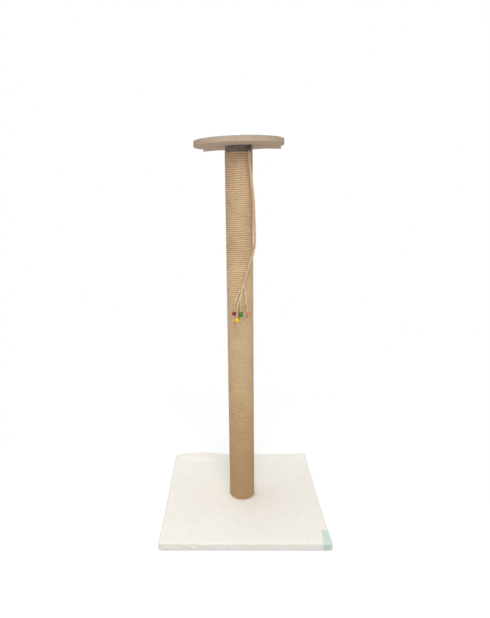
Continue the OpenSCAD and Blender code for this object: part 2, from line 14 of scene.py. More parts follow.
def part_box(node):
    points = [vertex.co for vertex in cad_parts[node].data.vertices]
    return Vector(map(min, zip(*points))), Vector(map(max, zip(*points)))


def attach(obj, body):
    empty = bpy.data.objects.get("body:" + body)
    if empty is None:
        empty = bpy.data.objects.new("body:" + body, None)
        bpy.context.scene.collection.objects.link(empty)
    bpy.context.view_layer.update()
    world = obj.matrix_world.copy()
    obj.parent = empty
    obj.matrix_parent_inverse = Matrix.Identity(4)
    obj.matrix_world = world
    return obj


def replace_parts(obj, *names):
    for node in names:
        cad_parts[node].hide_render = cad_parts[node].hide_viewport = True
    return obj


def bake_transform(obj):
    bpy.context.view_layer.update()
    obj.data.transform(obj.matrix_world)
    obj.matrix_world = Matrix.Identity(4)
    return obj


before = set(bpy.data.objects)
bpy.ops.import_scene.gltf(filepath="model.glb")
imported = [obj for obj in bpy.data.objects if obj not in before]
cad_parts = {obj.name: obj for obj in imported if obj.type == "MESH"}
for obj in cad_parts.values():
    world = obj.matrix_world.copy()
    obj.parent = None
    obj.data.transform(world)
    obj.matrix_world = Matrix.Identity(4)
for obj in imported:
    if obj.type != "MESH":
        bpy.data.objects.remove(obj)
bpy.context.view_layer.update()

# Camera and studio: the camera stands 1.48 m in front of the post and 1 m above the floor, tipped and turned
# as the base's corners and the post's edges show. A soft lamp high in front of the post, a little to its
# right, gives the cord its shadow, and a larger one lights the base from above.
MM = 0.001
photo_w = 490
photo_h = 618
focal_px = 490.4
axis_px = 210
sensor_w = 36
camera_at = (-0.038, -1.481, 1.003)
camera_down, camera_pan, camera_lean = np.radians((12.920, 2.152, -1.409))
sky_light = 0.37
lamps = {
    "key_lamp": ((0.15, -2.5, 2.6), 1.8, 51),
    "top_lamp": ((-0.5, 0.4, 6.0), 3.4, 165),
}
lamps_look_at = (0, 0, 0.6)
floor_side = 14
floor_points = 8
floor_gap = 0.2 * MM
floor_albedo = 0.7
floor_lift = 0.34
bright_from = 0.45
bright_to = 1.1


def linear(code):
    """An sRGB hex colour as linear RGBA: c / 12.92 up to 0.04045, else ((c + 0.055) / 1.055) to the 2.4."""
    c = np.array([int(code[i : i + 2], 16) / 255 for i in (1, 3, 5)])
    return (*np.where(c <= 0.04045, c / 12.92, ((c + 0.055) / 1.055) ** 2.4), 1.0)


def put(tree, kind, inputs=(), stops=(), out=None, **settings):
    """Adds a shader node with its settings, its inputs as values, hex colours or links, and its ramp's stops.

    A colour mix has its share as input 0 and its colours as 6 and 7. Returns the output named out, or else
    the usual one: a place's Object, a wave's Fac, a mix's colour and the first of any other node.
    """
    node = tree.nodes.new("ShaderNode" + kind)
    for name, value in settings.items():
        setattr(node, name, value)
    for name, value in dict(inputs).items():
        if isinstance(value, bpy.types.NodeSocket):
            tree.links.new(value, node.inputs[name])
        else:
            node.inputs[name].default_value = linear(value) if isinstance(value, str) else value
    for i, (place, code) in enumerate(stops):
        ramp = node.color_ramp.elements
        stop = ramp[i] if i < 2 else ramp.new(place)
        stop.position = place
        stop.color = linear(code)
    if node.outputs:
        return node.outputs[out or {"TexCoord": "Object", "TexWave": "Fac", "Mix": 2}.get(kind, 0)]


camera = bpy.data.objects.new("camera", bpy.data.cameras.new("camera"))
camera.data.sensor_width = sensor_w
camera.data.lens = focal_px / photo_h * sensor_w
camera.data.shift_x = (photo_w / 2 - axis_px) / photo_h
tip = Euler((math.pi / 2 - camera_down, 0, camera_pan)).to_matrix()
camera.matrix_world = Matrix.Translation(camera_at) @ (tip @ Matrix.Rotation(camera_lean, 3, "Z")).to_4x4()
bpy.context.scene.collection.objects.link(camera)
bpy.context.scene.camera = camera
bpy.context.scene.view_settings.view_transform = "Standard"

for name, (place, side, power) in lamps.items():
    lamp = bpy.data.objects.new(name, bpy.data.lights.new(name, "AREA"))
    lamp.data.size = side
    lamp.data.energy = power
    aim = (Vector(lamps_look_at) - Vector(place)).to_track_quat("-Z", "Y")
    lamp.matrix_world = Matrix.Translation(place) @ aim.to_matrix().to_4x4()
    bpy.context.scene.collection.objects.link(lamp)


def seen_directly(tree):
    """1 for rays from the camera, from gloss and through glass, and 0 for the light that falls on things."""
    ray = put(tree, "LightPath").node.outputs
    gloss = put(tree, "Math", {0: ray["Is Glossy Ray"], 1: ray["Is Transmission Ray"]}, operation="ADD")
    return put(tree, "Math", {0: ray["Is Camera Ray"], 1: gloss}, operation="ADD", use_clamp=True)


world = bpy.data.worlds.new("studio")
world.use_nodes = True
sky = world.node_tree
sky.nodes.clear()
lit = put(sky, "Background", {"Color": (1, 1, 1, 1), "Strength": sky_light})
shown = put(sky, "Background", {"Color": (1, 1, 1, 1), "Strength": 1.0})
put(sky, "OutputWorld", {"Surface": put(sky, "MixShader", {0: seen_directly(sky), 1: lit, 2: shown})})
bpy.context.scene.world = world


def net(rows, columns, round_rows, round_columns):
    """The quads of a grid of points, and each corner's place in the grid as (row, column).

    Quad (i, j) joins the points (i, j), (i, j+1), (i+1, j+1) and (i+1, j). Where the grid closes on itself,
    the last quads end on the first points, and their places run on past the seam.
    """
    i = np.arange(rows if round_rows else rows - 1)
    j = np.arange(columns if round_columns else columns - 1)
    i, j = np.meshgrid(i, j, indexing="ij")
    steps = ((0, 0), (0, 1), (1, 1), (1, 0))
    quads = np.stack([(i + a) % rows * columns + (j + b) % columns for a, b in steps], axis=-1)
    places = np.stack([np.stack([i + a, j + b], axis=-1) for a, b in steps], axis=-2)
    return quads.reshape(-1, 4), places.reshape(-1, 4, 2)


def shell(grid, round_rows=False, round_columns=True, ends=False, uv_step=(1, 1)):
    """A grid of points as a part: its points and a list of (faces, corner places), places times uv_step.

    With ends, a fan of triangles round their middle closes the first and the last row. Columns that go
    anticlockwise about the way the rows run give faces that point outwards.
    """
    rows, columns = grid.shape[:2]
    points = grid.reshape(-1, 3)
    quads, places = net(rows, columns, round_rows, round_columns)
    faces = [(quads, places * uv_step)]
    if ends:
        j = np.arange(columns)
        for end, order in ((0, -1), (rows - 1, 1)):
            fan = [np.full(columns, len(points)), end * columns + j, end * columns + (j + 1) % columns]
            spots = np.stack([np.full((columns, 3), end), np.stack([j + 0.5, j, j + 1], axis=-1)], axis=-1)
            faces.append((np.stack(fan, axis=-1)[:, ::order], spots[:, ::order] * uv_step))
            points = np.vstack([points, grid[end].mean(axis=0)])
    return points, faces


def piece(name, parts, body, finish, crease=None):
    """One piece from several parts. Edges sharper than crease degrees stay sharp, and with no body it is left
    unattached."""
    points = np.concatenate([p for p, _ in parts])
    starts = np.cumsum([0] + [len(p) for p, _ in parts])
    faces = [(f + start, places) for (_, group), start in zip(parts, starts) for f, places in group]
    sides = np.concatenate([np.full(len(f), f.shape[1]) for f, _ in faces])
    mesh = bpy.data.meshes.new(name)
    mesh.vertices.add(len(points))
    mesh.vertices.foreach_set("co", points.astype(np.float32).ravel())
    mesh.loops.add(int(sides.sum()))
    mesh.loops.foreach_set("vertex_index", np.concatenate([f.ravel() for f, _ in faces]).astype(np.int32))
    mesh.polygons.add(len(sides))
    mesh.polygons.foreach_set("loop_start", (np.cumsum(sides) - sides).astype(np.int32))
    mesh.update(calc_edges=True)
    uv = np.concatenate([places.reshape(-1, 2) for _, places in faces])
    mesh.uv_layers.new(name="UVMap").data.foreach_set("uv", uv.astype(np.float32).ravel())
    mesh.shade_smooth()
    if crease:
        mesh.set_sharp_from_angle(angle=math.radians(crease))
    mesh.materials.append(finish)
    made = bpy.data.objects.new(name, mesh)
    bpy.context.scene.collection.objects.link(made)
    if body:
        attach(made, body)
    return made


def finish_tree(name):
    """A new material with an empty node tree, and the tree."""
    material = bpy.data.materials.new(name)
    material.use_nodes = True
    material.node_tree.nodes.clear()
    return material, material.node_tree


def painted_floor():
    """Matt white paint. The camera sees it run out to plain white, and near the post it takes shadows."""
    material, tree = finish_tree("studio_floor_paint")
    far = put(tree, "VectorMath", {0: put(tree, "TexCoord")}, out="Value", operation="LENGTH")
    fade_range = {"Value": far, "From Min": bright_from, "From Max": bright_to}
    fade = put(tree, "MapRange", fade_range, interpolation_type="SMOOTHSTEP")
    paint = put(tree, "BsdfDiffuse", {"Color": (floor_albedo, floor_albedo, floor_albedo, 1)})
    lift = put(tree, "Math", {0: seen_directly(tree), 1: floor_lift}, operation="MULTIPLY")
    glow = put(tree, "Emission", {"Color": (1, 1, 1, 1), "Strength": lift})
    near = put(tree, "AddShader", {0: paint, 1: glow})
    white = put(tree, "Emission", {"Color": (1, 1, 1, 1), "Strength": 1.0})
    how_white = put(tree, "Math", {0: fade, 1: seen_directly(tree)}, operation="MULTIPLY")
    mix = put(tree, "MixShader", {0: how_white, 1: near, 2: white})
    put(tree, "OutputMaterial", {"Surface": mix})
    return material


across = np.linspace(-floor_side / 2, floor_side / 2, floor_points)
floor_x, floor_y = np.meshgrid(across, across, indexing="xy")
floor_grid = np.stack([floor_x, floor_y, np.full_like(floor_x, -floor_gap)], axis=-1)
floor = piece("studio_floor", [shell(floor_grid, round_columns=False)], None, painted_floor())

# Toy cord: a soft 8 mm cord of three cotton strands, which hangs limp from a string loop. Thread is whipped
# round its upper end, and a wrapped knot at its lower end holds its opened strands together.
cord_d = 8 * MM
cord_lay = 30 * MM
cord_step = 1.3 * MM
strand_d = 3 * MM
strand_lay = 11 * MM
loop_d = 2.2 * MM
loop_leg_l = 2 * MM
ring_wire_d = 1.6 * MM
link_gap = 0.1 * MM
thread_d = 0.9 * MM
thread_pitch = 0.95 * thread_d
thread_r = cord_d / 2 + 0.1 * MM
thread_from = 1.2 * MM
whipping_turns = 9
lead_d = 3.5 * MM
wrap_d = 2.1 * MM
wrap_r = 3.9 * MM
wrap_turns = 4
wrap_from = 10.5 * MM
wrap_pitch = 1.9 * MM

# The cores inside the whipping and the knot, as (radius, height) in millimetres, and the places along the
# cord and of its knot, as hung takes them.
WHIPPING_CORE = [(3.5, -11), (3.7, -1), (2.6, 0)]
KNOT_CORE = [(3.2, -12), (3.4, -4), (4, 0), (2.6, 4)]
CORD = [
    (0, 0, 0), (0, 0, 16), (1, 0.5, 34), (3, 0.5, 54), (5, 1, 74), (7.5, 1, 94), (9.5, 1, 114), (11, 1, 134),
    (12, 1, 154), (12.5, 1, 174), (13, 1, 194), (13.5, 1, 214), (14, 1, 232), (13.5, 1, 250), (11.5, 1, 268),
    (7, 1, 286), (1, 1, 304), (-5, 0.5, 322), (-10.5, 0.5, 340), (-15, 0, 357), (-18.5, 0, 368.5),
]
KNOT = (-22, 0, 380)

eye_low, eye_high = np.array(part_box("screw_eye"))
cord_top = np.array([*(eye_low + eye_high)[:2] / 2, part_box("toy_cord")[1][2]])
ring_low = np.array(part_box("hanging_ring"))[0, 2] + ring_wire_d / 2


def hung(points):
    """Places in the frame, given sideways, forwards and down from the cord's top end, in millimetres."""
    return cord_top + np.asarray(points, float) * (MM, -MM, -MM)


def smooth_way(points, step, between=24):
    """Evenly spaced points along a smooth way through the given ones.

    Between two points the way is their Catmull-Rom cubic, whose speed at each point is half the step between
    its neighbours. The fine points, between of them to each cubic, are then spaced by equal shares of the
    length along them.
    """
    p = np.asarray(points, float)
    p = np.vstack([2 * p[0] - p[1], p, 2 * p[-1] - p[-2]])
    t = np.linspace(0, 1, between, endpoint=False)[:, None]
    fine = [
        b + t * (c - a) / 2 + t**2 * (a - 2.5 * b + 2 * c - d / 2) + t**3 * (d - a + 3 * (b - c)) / 2
        for a, b, c, d in zip(p, p[1:], p[2:], p[3:])
    ]
    return even(np.vstack([*fine, p[-2]]), step)


def even(way, step):
    """The points of a way, spaced evenly again by interpolating on the length along it."""
    run = along(way)
    places = np.linspace(0, run[-1], max(2, round(run[-1] / step) + 1))
    return np.stack([np.interp(places, run, way[:, k]) for k in range(3)], axis=-1)


def along(way):
    """The length along a way at each of its points: the running sum of the distances between them."""
    return np.concatenate([[0], np.cumsum(np.linalg.norm(np.diff(way, axis=0), axis=1))])


def unit(v):
    """Vectors divided by their lengths."""
    return v / np.linalg.norm(v, axis=-1, keepdims=True)


def laid_rope(
    way, radius, strands=3, lay=cord_lay, sides=24, groove=0.78, out=None, round_way=False, run=None, tall=1.0
):
    """A rope's surface along a way, as a grid of points, one ring of sides points at each point of the way.

    A ring is the outline of equal circles that touch each other inside it: at an angle a from a strand's
    middle the distance is b cos a + sqrt(c^2 - b^2 sin^2 a), with c the strand's radius and b its distance
    from the centre, and it is never less than the groove. Each ring is turned by one turn for every lay of
    length, and stretched by tall across out.
    """
    following = np.roll(way, -1, axis=0) if round_way else np.vstack([way[1:], 2 * way[-1] - way[-2]])
    before = np.roll(way, 1, axis=0) if round_way else np.vstack([2 * way[0] - way[1], way[:-1]])
    t = unit(following - before)
    out = np.cross(t, (0, 1, 0)) if out is None else out
    u = unit(out - (out * t).sum(axis=1, keepdims=True) * t)
    v = np.cross(t, u)
    run = along(way) if run is None else run
    k = np.arange(sides) / sides
    off = ((k * strands) % 1 - 0.5) * 2 * np.pi / strands
    c = 1 / (1 + 1 / np.sin(np.pi / strands))
    b = 1 - c
    reach = b * np.cos(off) + np.sqrt(np.maximum(c**2 - (b * np.sin(off)) ** 2, 0))
    reach = np.maximum(reach, groove)
    turn = 2 * np.pi * (k[None, :] + (run / lay)[:, None])
    size = np.broadcast_to(radius, len(way))[:, None] * reach
    outward = (size * np.cos(turn))[..., None] * u[:, None]
    return way[:, None] + outward + (size * tall * np.sin(turn))[..., None] * v[:, None]


def rope_part(way, radius, **how):
    """A closed rope as a part. Its UV map runs in metres along it, and from 0 to 1 round it from a groove."""
    grid = laid_rope(way, radius, **how)
    closed = how.get("round_way", False)
    step = along(way)[-1] / (len(way) - 1)
    return shell(grid, round_rows=closed, ends=not closed, uv_step=(step, 1 / grid.shape[1]))


def twisted_fibre(name, pale, deep, strands, lay, d, fibre, fuzz, heights=(), bump=0.7):
    """Rope or cord of twisted fibre: streaks run along it across the strands, with painted shade in its
    grooves.

    fibre is a streak's width, coarser than a real fibre so that it shows, and heights gives the pale colour
    at heights above the floor, where it changes. The streaks' noise is read unturned: its place round the
    rope is the UV's, plus one turn for every lay. Streaks and patches are deep, and specks have the colour of
    fuzz.
    """
    material, tree = finish_tree(name)
    spot = put(tree, "TexCoord")
    uv = put(tree, "SeparateXYZ", {0: put(tree, "UVMap", uv_map="UVMap")}).node.outputs
    untwisted = put(tree, "Math", {0: uv["X"], 1: 1 / lay, 2: uv["Y"]}, operation="MULTIPLY_ADD")
    fine_u = put(tree, "Math", {0: uv["X"], 1: 1 / (12 * fibre)}, operation="MULTIPLY")
    fine_v = put(tree, "Math", {0: untwisted, 1: math.pi * d / fibre}, operation="MULTIPLY")
    streak_at = put(tree, "CombineXYZ", {"X": fine_u, "Y": fine_v})
    streaks = put(tree, "TexNoise", {"Vector": streak_at, "Scale": 1.0, "Detail": 4.0, "Roughness": 0.7})
    patches = put(tree, "TexNoise", {"Vector": spot, "Scale": 1 / (9 * d), "Detail": 2.0})
    specks = put(tree, "TexNoise", {"Vector": spot, "Scale": 1 / (2.2 * fibre), "Detail": 1.0})
    colour = pale
    if heights:
        top = heights[-1][0]
        height = put(tree, "SeparateXYZ", {0: spot}).node.outputs["Z"]
        share = put(tree, "Math", {0: height, 1: 1 / top}, operation="MULTIPLY")
        colour = put(tree, "ValToRGB", {0: share}, stops=[(z / top, code) for z, code in heights])
    for noise, low, high, most, tint in (
        (streaks, 0.48, 0.7, 0.6, deep),
        (patches, 0.45, 0.7, 0.22, deep),
        (specks, 0.68, 0.76, 0.5, fuzz),
    ):
        share = put(tree, "MapRange", {"Value": noise, "From Min": low, "From Max": high, "To Max": most})
        colour = put(tree, "Mix", {0: share, 6: colour, 7: tint}, data_type="RGBA")
    # Painted shade: the colour goes towards the deep one in the grooves between the strands.
    strand_at = put(tree, "Math", {0: uv["Y"], 1: strands}, operation="MULTIPLY")
    edge = put(tree, "Math", {0: strand_at}, operation="FRACT")
    from_middle = put(tree, "Math", {0: edge, 1: 0.5}, operation="SUBTRACT")
    to_groove = put(tree, "Math", {0: from_middle}, operation="ABSOLUTE")
    painted_groove_shade_range = {"Value": to_groove, "From Min": 0.32, "From Max": 0.5, "To Max": 0.4}
    painted_groove_shade = put(tree, "MapRange", painted_groove_shade_range, interpolation_type="SMOOTHSTEP")
    with_painted_groove_shade = put(tree, "Mix", {0: painted_groove_shade, 6: colour, 7: deep}, data_type="RGBA")
    relief = put(tree, "Bump", {"Height": streaks, "Distance": 2 * fibre, "Strength": bump})
    rough = put(tree, "MapRange", {"Value": streaks, "To Min": 0.75, "To Max": 0.95})
    look = {
        "Base Color": with_painted_groove_shade, "Roughness": rough, "Normal": relief, "IOR": 1.45, "Specular IOR Level": 0.25,
    }
    put(tree, "OutputMaterial", {"Surface": put(tree, "BsdfPrincipled", look)})
    return material


def frame_across(way):
    """Two unit vectors across a way, at right angles to each other, the first also across the Y axis."""
    u = unit(np.cross(way, (0, 1, 0)))
    return u, np.cross(way, u)


def torus_knot(middle, way, wide, thick, tall, turns, leads, count):
    """A closed way that winds round an axis: at angle a its radius is wide + thick cos(leads a / turns) and
    its height is tall sin(leads a / turns), and a goes round turns times."""
    a = np.linspace(0, 2 * np.pi * turns, count, endpoint=False)
    way = unit(np.asarray(way, float))
    u, v = frame_across(way)
    radius = (wide + thick * np.cos(leads * a / turns))[:, None]
    height = (tall * np.sin(leads * a / turns))[:, None]
    return middle + radius * np.cos(a)[:, None] * u + radius * np.sin(a)[:, None] * v + height * way


def turned(profile, middle, way, columns, closed=False, ends=True):
    """A part turned about an axis: each (radius, height) of a profile goes once round a way through middle.

    A profile that runs up the outside gives faces that point outwards.
    """
    profile = np.asarray(profile, float)
    way = unit(np.asarray(way, float))
    u, v = frame_across(way)
    a = np.linspace(0, 2 * np.pi, columns, endpoint=False)
    round_it = np.cos(a)[:, None] * u + np.sin(a)[:, None] * v
    grid = middle + profile[:, 0, None, None] * round_it[None] + profile[:, 1, None, None] * way
    return shell(grid, round_rows=closed, ends=ends and not closed)


cotton = twisted_fibre("twisted_cotton", "#e5c6a4", "#b28a60", 3, cord_lay, cord_d, 0.35 * MM, "#8d6f4c")
# The strands, loop, whipping and knots take a paler copy of the cord's cotton: painted light that makes up
# for the shade they hang in.
strand_cotton_painted_light = twisted_fibre(
    "opened_cotton_strand_painted_light", "#f5dcb7", "#d3b184", 2, strand_lay, strand_d, 0.3 * MM, "#b08c60"
)

cord_way = smooth_way(hung(CORD), cord_step)
toy_cord = piece("toy_cord_laid", [rope_part(cord_way, cord_d / 2)], "toy", cotton)
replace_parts(toy_cord, "toy_cord")

bend_r = (ring_wire_d + loop_d) / 2 + link_gap
bend = np.linspace(np.pi, 0, 25)
leg_end_z = cord_top[2] - loop_leg_l
arch = np.stack([bend_r * np.cos(bend), 0 * bend, ring_low + bend_r * np.sin(bend)], axis=-1)
loop_way = np.vstack([[-bend_r, 0, leg_end_z], arch, [bend_r, 0, leg_end_z]]) + (*cord_top[:2], 0)
loop_part = rope_part(even(loop_way, 0.35 * MM), loop_d / 2, strands=2, lay=7 * MM, sides=12, groove=0.82)
string_loop = piece("string_loop", [loop_part], "toy", strand_cotton_painted_light)
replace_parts(string_loop, "cord_loop")

wind = np.linspace(0, 2 * np.pi * whipping_turns, whipping_turns * 40)
thread_out = np.stack([thread_r * np.cos(wind), thread_r * np.sin(wind), 0 * wind], axis=-1)
thread_way = cord_top + thread_out - (thread_from + wind / (2 * np.pi) * thread_pitch)[:, None] * (0, 0, 1)
thread_part = rope_part(thread_way, thread_d / 2, strands=2, lay=3 * MM, sides=8, groove=0.85, out=thread_out)
whipping_parts = [thread_part, turned(np.array(WHIPPING_CORE) * MM, cord_top, (0, 0, 1), 32)]
whipping = piece("cord_whipping", whipping_parts, "toy", strand_cotton_painted_light)
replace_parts(whipping, "toy_cord")

knot_at = hung(KNOT)
knot_way = unit(knot_at - hung(CORD[-1]))
lead_way = torus_knot(
    knot_at, knot_way, wide=3.7 * MM, thick=1.1 * MM, tall=3.9 * MM, turns=3, leads=4, count=420
)
lead_out = lead_way - knot_at
wrap_a = np.linspace(0, 2 * np.pi * wrap_turns, 50 * wrap_turns)
knot_u, knot_v = frame_across(knot_way)
wrap_out = np.cos(wrap_a)[:, None] * knot_u + np.sin(wrap_a)[:, None] * knot_v
wrap_way = knot_at - (wrap_from - wrap_a / (2 * np.pi) * wrap_pitch)[:, None] * knot_way + wrap_out * wrap_r
lead = rope_part(
    lead_way, lead_d / 2, strands=2, lay=strand_lay, sides=12, groove=0.84, out=lead_out, round_way=True
)
knot_parts = [
    lead,
    rope_part(wrap_way, wrap_d / 2, strands=2, lay=8 * MM, sides=10, groove=0.84, out=wrap_out),
    turned(np.array(KNOT_CORE) * MM, knot_at, knot_way, 24),
]
cord_knot = piece("wrapped_knot", knot_parts, "toy", strand_cotton_painted_light)
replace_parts(cord_knot, "cord_knot")

# Strands and beads: four opened strands of the cord, 3 mm thick, each with a lacquered wooden bead that
# slides down to a small knot. Their cut ends have frayed, and they bend below the cord's knot.
strand_step = 0.8 * MM
bead_travel = 12 * MM
bead_hole_r = 1.9 * MM
bead_lip = 0.5 * MM
end_knot_r = 2.6 * MM
end_cord_r = 0.8 * MM
seat_gap = 0.3 * MM
strand_puff = 0.15
strand_puff_l = 14 * MM
fray_count = 26
fray_room = 0.9 * MM
fray_d = 0.4 * MM
fray_spread = 0.25
fray_bend = 1.4 * MM
fray_droop = 1 * MM
fray_lengths = (5, 9)
random = np.random.default_rng(7)

# Each strand's points, its bead's place and diameter and its tail below its own knot, in millimetres from the
# cord's knot, then its tufts as (place, rise, reach) and its bead's paint.
STRANDS = {
    "red": (
        [
            (-4.5, 0.7, 5.2), (-9, 1.5, 11.5), (-13.5, 2.2, 19.5), (-17.8, 2.8, 29), (-21.2, 3, 38.5),
            (-23.8, 3, 48.5),
        ],
        (-27, 3, 79.5), 13, [(-2.6, 0, 8), (-5, 0.3, 16), (-4.8, 0.5, 27)],
        [(15, 1.25, 7), (40, 1.2, 7)], "#8c0c1f",
    ),
    "green": (
        [(-0.6, -0.4, 6.9), (-2.4, 1, 15), (-4.8, 2.2, 25), (-6.5, 3, 35), (-7, 3, 45), (-7, 3, 55)],
        (-7, 3, 83), 15, [(0.4, 0, 5), (2, 0, 10)],
        [(31, 1.2, 7)], "#378122",
    ),
    "yellow": (
        [
            (-1.4, 4.3, 5.2), (-4.3, 6.8, 13.5), (-7.8, 8.6, 24), (-11, 9.7, 35), (-14, 10, 46),
            (-16.8, 10, 57), (-18.5, 10, 66),
        ],
        (-18.5, 10, 99), 15, [(0.6, 0, 5.5), (3, 0, 11)],
        [(47, 1.2, 7)], "#f4c933",
    ),
    "orange": (
        [(4.1, 0, 5.6), (6.4, 0.8, 13.5), (7.6, 2, 24), (8.4, 3, 35), (9.3, 3, 46), (10.5, 3, 57)],
        (16, 3, 79.5), 11, [(-0.6, 0.3, 6.5), (-3.8, 0.6, 12), (-6.6, 0.5, 18.5)],
        [(18, 0.8, 9), (44, 0.9, 9)], "#dc8b58",
    ),
}


def hairs(roots, ways, sags, lengths, width, rings=5):
    """Loose fibres as one part: a point at share s of a fibre's length L is root + way L s + sag s^2.

    Each is a three-sided tube that tapers from width to a quarter of it, closed at both ends.
    """
    s = np.linspace(0, 1, rings)[None, :, None]
    middle = roots[:, None] + ways[:, None] * lengths[:, None, None] * s + sags[:, None] * s**2
    t = unit(ways[:, None] * lengths[:, None, None] + 2 * s * sags[:, None])
    u = unit(np.cross(t, (0.3, 0.5, 0.81)))
    v = np.cross(t, u)
    a = np.arange(3) * 2 * np.pi / 3
    size = width / 2 * (1 - 0.75 * s)[..., None]
    outward = np.cos(a)[:, None] * u[:, :, None] + np.sin(a)[:, None] * v[:, :, None]
    grid = middle[:, :, None] + size * outward
    one, places = net(rings, 3, False, True)
    first = np.arange(len(roots))[:, None, None] * rings * 3
    quads = (one[None] + first).reshape(-1, 4)
    tips = np.array([[2, 1, 0], [rings * 3 - 3, rings * 3 - 2, rings * 3 - 1]])
    tips = (tips[None] + first).reshape(-1, 3)
    spots = np.tile(places * (lengths.mean() / rings, 1 / 3), (len(roots), 1, 1))
    return grid.reshape(-1, 3), [(quads, spots), (tips, np.zeros((len(tips), 3, 2)))]


def waves(x, y, size, seed, count=24):
    """Smooth random height, mostly within 1 of 0: the sum of count sine waves that run in random directions,
    each about size long, over the square root of twice their number."""
    r = np.random.default_rng(seed)
    a = r.uniform(0, 2 * np.pi, count)
    k = 2 * np.pi / (size * r.uniform(0.7, 1.5, count))
    phase = r.uniform(0, 2 * np.pi, count)
    total = sum(np.sin(k[i] * (x * np.cos(a[i]) + y * np.sin(a[i])) + phase[i]) for i in range(count))
    return total / math.sqrt(count / 2) / 2


def ease(low, high, x):
    """0 below low, 1 above high, and 3 s^2 - 2 s^3 at share s between them."""
    s = np.clip((x - low) / (high - low), 0, 1)
    return s * s * (3 - 2 * s)


def knot_drop(bead_d):
    """How far below a bead's middle its knot's is: both spheres sit on the hole's rims, a small gap apart."""
    on_rims = [math.sqrt(r**2 - bead_hole_r**2) for r in (bead_d / 2, end_knot_r)]
    return sum(on_rims) + seat_gap


def lacquered_bead(name, code):
    """Turned beech bead, dipped in colour and lacquered: a clear gloss over faint grain bands 5 mm apart.

    Here and below, a wave texture's bands are pi / 10 over its scale apart.
    """
    material, tree = finish_tree(name)
    spot = put(tree, "TexCoord")
    bands = {"Vector": spot, "Scale": math.pi / 10 / (5 * MM), "Distortion": 3.0, "Detail": 2.0}
    grain = put(tree, "TexWave", bands, wave_type="BANDS", bands_direction="X")
    tone = linear(code)
    dark = tuple(c * 0.8 for c in tone[:3]) + (1,)
    share = put(tree, "MapRange", {"Value": grain, "To Max": 0.35})
    colour = put(tree, "Mix", {0: share, 6: tone, 7: dark}, data_type="RGBA")
    relief = put(tree, "Bump", {"Height": grain, "Distance": 0.05 * MM, "Strength": 0.3})
    look = {
        "Base Color": colour, "Roughness": 0.34, "IOR": 1.5, "Specular IOR Level": 0.35,
        "Coat Weight": 0.25, "Coat Roughness": 0.12, "Normal": relief,
    }
    put(tree, "OutputMaterial", {"Surface": put(tree, "BsdfPrincipled", look)})
    return material


def bead_profile(r, hole_r, lip):
    """(radius, height) round a bead's wall: up its sphere from rim to rim, then down its hole.

    The rims are rounded by quarter ellipses, lip wide and lip high.
    """
    rim_z = math.sqrt(r**2 - (hole_r + lip) ** 2)
    a = np.linspace(-math.asin(rim_z / r), math.asin(rim_z / r), 27)
    sphere = np.stack([r * np.cos(a), r * np.sin(a)], axis=-1)
    b = np.linspace(0, np.pi / 2, 5)[1:]
    rounding = np.stack([hole_r + lip * (1 - np.sin(b)), rim_z - lip * (1 - np.cos(b))], axis=-1)
    wall = np.stack([np.full(6, hole_r), np.linspace(rim_z - lip, lip - rim_z, 8)[1:-1]], axis=-1)
    return np.vstack([sphere, rounding, wall, (rounding * (1, -1))[::-1]])


for colour, (points, bead_at, bead_d, tail, tufts, paint) in STRANDS.items():
    points, bead_place = np.array(points, float), hung(KNOT + np.array(bead_at))
    straight = unit(np.array(bead_at) - points[-1])
    knot_below = bead_at + knot_drop(bead_d * MM) / MM * straight
    steps = np.linspace(points[-1], knot_below, 5)[1:]
    strand_points = KNOT + np.vstack([points[0] * 0.75, points, steps, knot_below + tail])
    strand_way = smooth_way(hung(strand_points), strand_step)
    strand_run = along(strand_way)
    from_bead = np.linalg.norm(strand_way - bead_place, axis=1)
    above_bead = strand_run < strand_run[from_bead.argmin()]
    slack = ease(bead_travel + bead_d / 2 * MM, 2 * bead_travel, from_bead) * above_bead
    tufty = sum(rise * np.exp(-(((strand_run / MM - at) / reach) ** 2)) for at, rise, reach in tufts)
    seed = 40 + bead_d + len(colour)
    uneven = strand_puff + strand_puff * waves(strand_run, 0 * strand_run, strand_puff_l, seed)
    puffs = 1 + slack * (uneven + tufty)
    strand_part = rope_part(strand_way, strand_d / 2 * puffs, strands=2, lay=strand_lay, sides=16, groove=0.8)
    strand = piece(f"{colour}_strand", [strand_part], None, strand_cotton_painted_light)
    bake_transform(strand)
    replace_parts(strand, f"strand_{colour}")

    way = unit(straight * (1, -1, -1))
    small_at = hung(KNOT + knot_below)
    small_way = torus_knot(
        small_at, way, wide=1.35 * MM, thick=0.5 * MM, tall=1.15 * MM, turns=2, leads=3, count=150
    )
    small_knot = rope_part(
        small_way, end_cord_r, strands=2, lay=5 * MM, sides=8, out=small_way - small_at, round_way=True
    )
    end_way = unit(strand_way[-1] - strand_way[-4])
    frays = hairs(
        strand_way[-1] - end_way * 1.5 * MM + random.uniform(-1, 1, (fray_count, 3)) * fray_room,
        unit(end_way + random.normal(0, fray_spread, (fray_count, 3))),
        random.normal(0, fray_bend, (fray_count, 3)) - (0, 0, fray_droop),
        random.uniform(*fray_lengths, fray_count) * MM,
        fray_d,
    )
    end_knot = piece(f"{colour}_end_knot", [small_knot, frays], "strands", strand_cotton_painted_light)
    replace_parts(end_knot, f"strand_{colour}")

    bead_wall = bead_profile(bead_d / 2 * MM, bead_hole_r, bead_lip)
    bead_part = turned(bead_wall, bead_place, -way, 40, closed=True)
    lacquer = lacquered_bead(f"{colour}_lacquer", paint)
    bead = piece(
        f"{colour}_bead_turned", [bead_part], f"{colour}_bead", lacquer, crease=50
    )
    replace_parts(bead, f"bead_{colour}")

